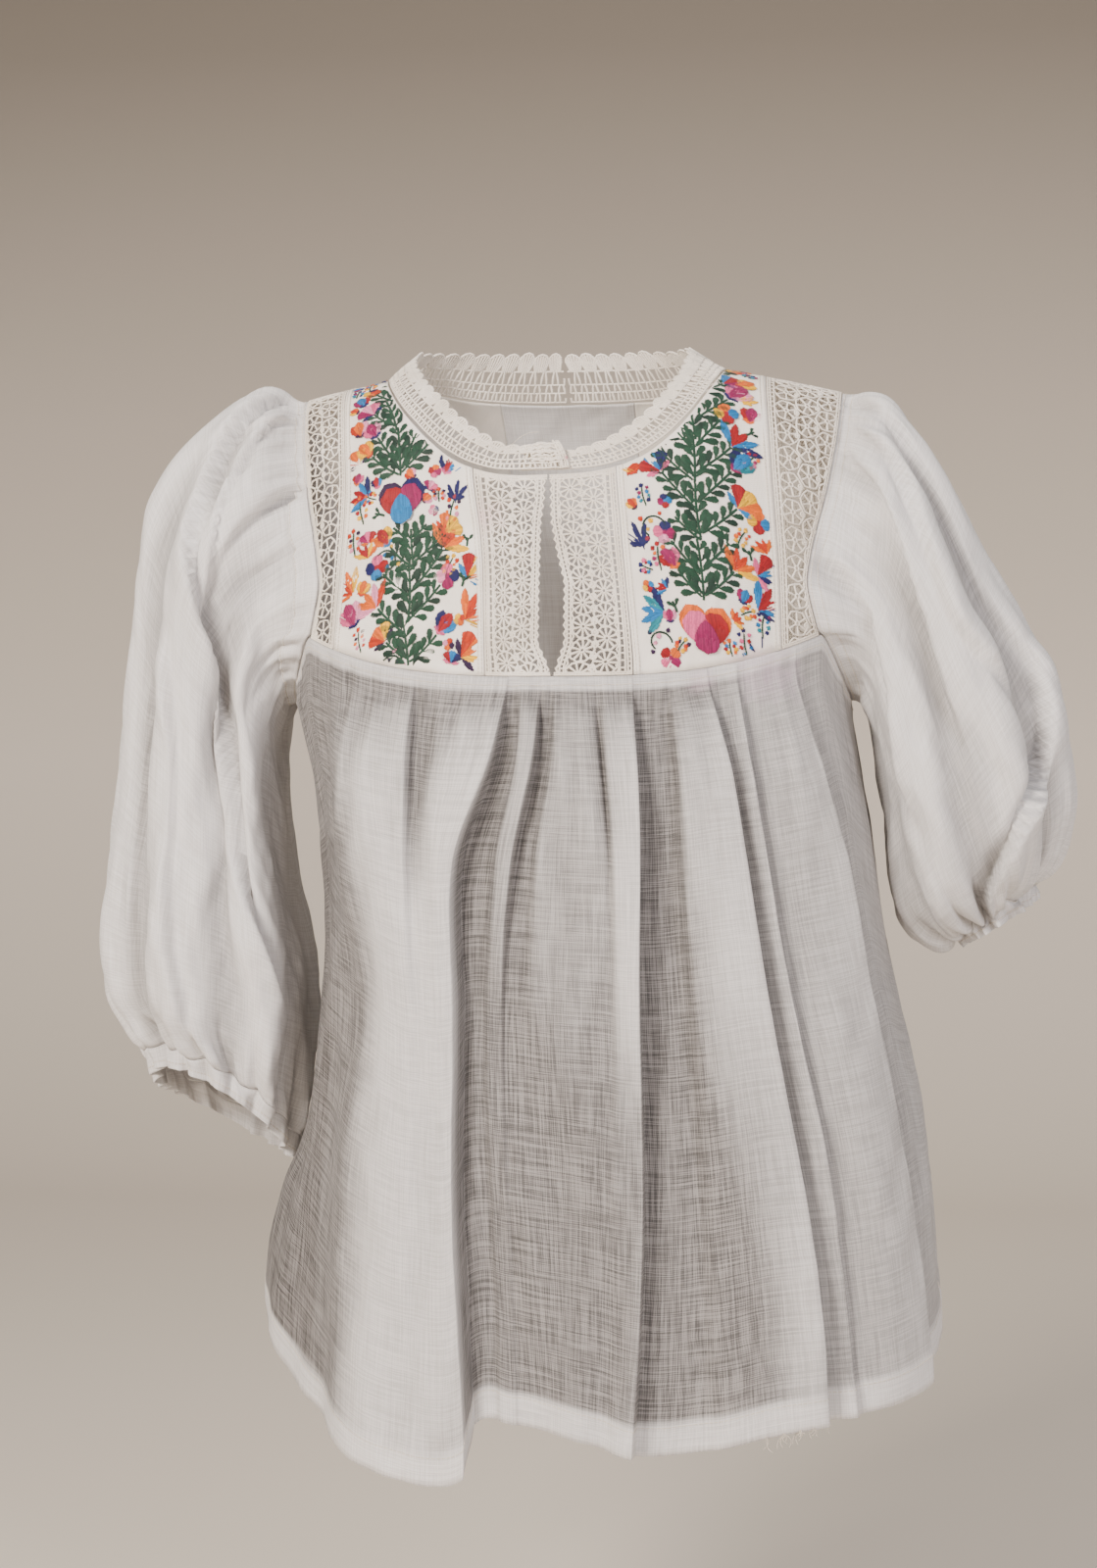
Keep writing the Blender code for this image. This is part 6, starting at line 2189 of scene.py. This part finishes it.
stitch_tree, stitch_inputs = add_geometry_tree(
    "stitches_along_a_line",
    (
        ("Pitch", "NodeSocketFloat"),
        ("Length", "NodeSocketFloat"),
        ("Thread", "NodeSocketFloat"),
        ("Finish", "NodeSocketMaterial"),
    ),
)
stitch_in = tree_node(stitch_tree, "NodeGroupInput")
stitch_lines = tree_node(stitch_tree, "GeometryNodeMeshToCurve", Mesh=stitch_in.outputs["Geometry"])
stitch_places = tree_node(
    stitch_tree,
    "GeometryNodeCurveToPoints",
    {"mode": "LENGTH"},
    Curve=stitch_lines.outputs["Curve"],
    Length=stitch_in.outputs["Pitch"],
)
stitch_shape = tree_node(
    stitch_tree,
    "GeometryNodeMeshCylinder",
    Vertices=6,
    Radius=stitch_in.outputs["Thread"],
    Depth=stitch_in.outputs["Length"],
)
stitch_copies = tree_node(
    stitch_tree,
    "GeometryNodeInstanceOnPoints",
    Points=stitch_places.outputs["Points"],
    Instance=stitch_shape.outputs["Mesh"],
    Rotation=stitch_places.outputs["Rotation"],
)
stitch_whole = tree_node(
    stitch_tree, "GeometryNodeRealizeInstances", Geometry=stitch_copies.outputs["Instances"]
)
stitch_dressed = tree_node(
    stitch_tree,
    "GeometryNodeSetMaterial",
    Geometry=stitch_whole.outputs["Geometry"],
    Material=stitch_in.outputs["Finish"],
)
tree_node(stitch_tree, "NodeGroupOutput", Geometry=stitch_dressed.outputs["Geometry"])

# Sewing cotton: fine matt ecru thread
sewing, sewing_shader = new_material("ecru_sewing_cotton")
sewing_place = add_node(sewing, "ShaderNodeTexCoord").outputs["Object"]
sewing_fuzz = add_node(sewing, "ShaderNodeTexNoise", Vector=sewing_place, Scale=1200.0, Detail=2.0)
sewing_tone = add_node(
    sewing,
    "ShaderNodeMix",
    {"data_type": "RGBA"},
    _0=sewing_fuzz.outputs["Fac"],
    _6=linear("#B9AD9C"),
    _7=linear("#E9E1D4"),
)
finish(sewing, sewing_shader, sewing_tone.outputs[2], Roughness=0.8)


def sew(name, lines, pitch=2.6, length=1.8, thread=0.22):
    """Running stitches in mm along lines of points."""
    guide = guide_lines(name, lines)
    values = {"Pitch": pitch * MM, "Length": length * MM, "Thread": thread * MM, "Finish": sewing}
    values = {stitch_inputs[key]: value for key, value in values.items()}
    row = grown(name, guide, stitch_tree, values)
    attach(row, "root")
    return row


def across_grid(points, normals, depth, from_end=False):
    """A line over a grid of points, so many mm from its first or last row, just above the cloth."""
    ordered, lifted = (points[::-1], normals[::-1]) if from_end else (points, normals)
    steps = np.linalg.norm(np.diff(ordered, axis=0), axis=2)
    below = np.concatenate([np.zeros((1, points.shape[1])), np.cumsum(steps, axis=0)])
    low = np.clip((below < depth).sum(axis=0) - 1, 0, len(points) - 2)
    column = np.arange(points.shape[1])
    share = (depth - below[low, column]) / (below[low + 1, column] - below[low, column])
    share = share[:, None]
    line = ordered[low, column] * (1 - share) + ordered[low + 1, column] * share
    return line + lifted[low, column] * 0.12


for name, behind in (("body_front", False), ("body_back", True)):
    points = body_grids[name]
    normals = outward(points, True)
    if (normals[:, :, 1].sum() > 0) != behind:
        normals = -normals
    sew(
        name + "_seam_stitches",
        [across_grid(points, normals, 5.5)],
        pitch=2.4,
    )
    sew(
        name + "_hem_stitches",
        [across_grid(points, normals, HEM_DEPTH - 1.5, from_end=True)],
        pitch=3.0,
        length=2.2,
    )


# Loose threads: frayed ends at a worn place of the hem, near the left side, and one longer end
# that stands up from the neck band's tab. They are single threads of the sewing cotton.
FRAY_X = (122, 160)
FRAY_COUNT = 22
FRAY_LENGTHS = (2.5, 8.5)
FRAY_CURL = 0.35
LOOSE_POINTS = 12
LOOSE_RADIUS = 0.16
LOOSE_SIDES = 4


def loose_thread(start, way, length, curl, seed):
    """A thin thread that leaves its start along way and wanders as it goes."""
    draw = np.random.default_rng(seed)
    steps = np.linspace(0, 1, LOOSE_POINTS)[:, None]
    aside = np.cross(way, draw.normal(size=3))
    aside /= np.linalg.norm(aside)
    wave = np.sin(steps * pi * draw.uniform(0.7, 1.8)) * aside
    sway = wave + steps**2 * draw.uniform(-0.5, 0.5, 3)
    return np.asarray(start) + length * (steps * way + curl * sway)


hem_edge = body_grids["body_front"][-1]
fray_draw = np.random.default_rng(3)
threads = []
for seed in range(FRAY_COUNT):
    near = np.abs(hem_edge[:, 0] - fray_draw.uniform(*FRAY_X)).argmin()
    way = np.array([fray_draw.uniform(-0.6, 0.6), fray_draw.uniform(-0.3, 0.1), -1.0])
    start = hem_edge[near] + (0, -0.2, fray_draw.uniform(0, 1.5))
    threads.append(loose_thread(start, way, fray_draw.uniform(*FRAY_LENGTHS), FRAY_CURL, seed))
tab_band = NeckBand(-BAND_BACK_TURN, BAND_LAP_TURN, True)
tab_start = tab_band.lay(np.array([0.97]), np.array([tab_band.length - 34]), np.array([1.0]))[0]
threads.append(loose_thread(tab_start, np.array([0.9, -0.2, 0.42]), 19.0, 0.16, 7))
radii = [np.full(LOOSE_POINTS, LOOSE_RADIUS)] * len(threads)
thread_guide = guide_lines("loose_threads", threads, radii)
loose_values = {yarn_inputs["Sides"]: LOOSE_SIDES, yarn_inputs["Yarn"]: sewing}
loose = grown("loose_threads", thread_guide, yarn_tree, loose_values)
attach(loose, "root")

for name, strip in strips.items():
    laid = LaidStrip(strip.left, strip.right, strip.behind)
    lines = []
    for inset in (1.4, EDGE_FOLD - 0.5):
        for far in (False, True):
            downs = np.arange(0, laid.length, 1.5)
            place = inset / laid.width_at(downs)
            place = 1 - place if far else place
            shown = laid.inside(place, downs, 1.0)
            rise = np.full(shown.sum(), EDGE_RISE + 0.15)
            lines.append(laid.lay(place[shown], downs[shown], rise))
    sew(name + "_edge_stitches", lines, pitch=2.4)

for name, points in {**sleeves, **cuff_rings}.items():
    normals = ring_normals(points)
    depths = (2.2, 7.5) if name in sleeves else (4.0,)
    lines = [across_grid(points, normals, depth, from_end=name not in sleeves) for depth in depths]
    sew(name + "_stitches", [np.concatenate([line, line[:1]]) for line in lines], pitch=2.5)
    if name == "sleeve_right":
        edge = armhole_band[-2] + normals[0, first:last] * 0.2
        sew("armhole_band_stitches", [edge], pitch=2.5)
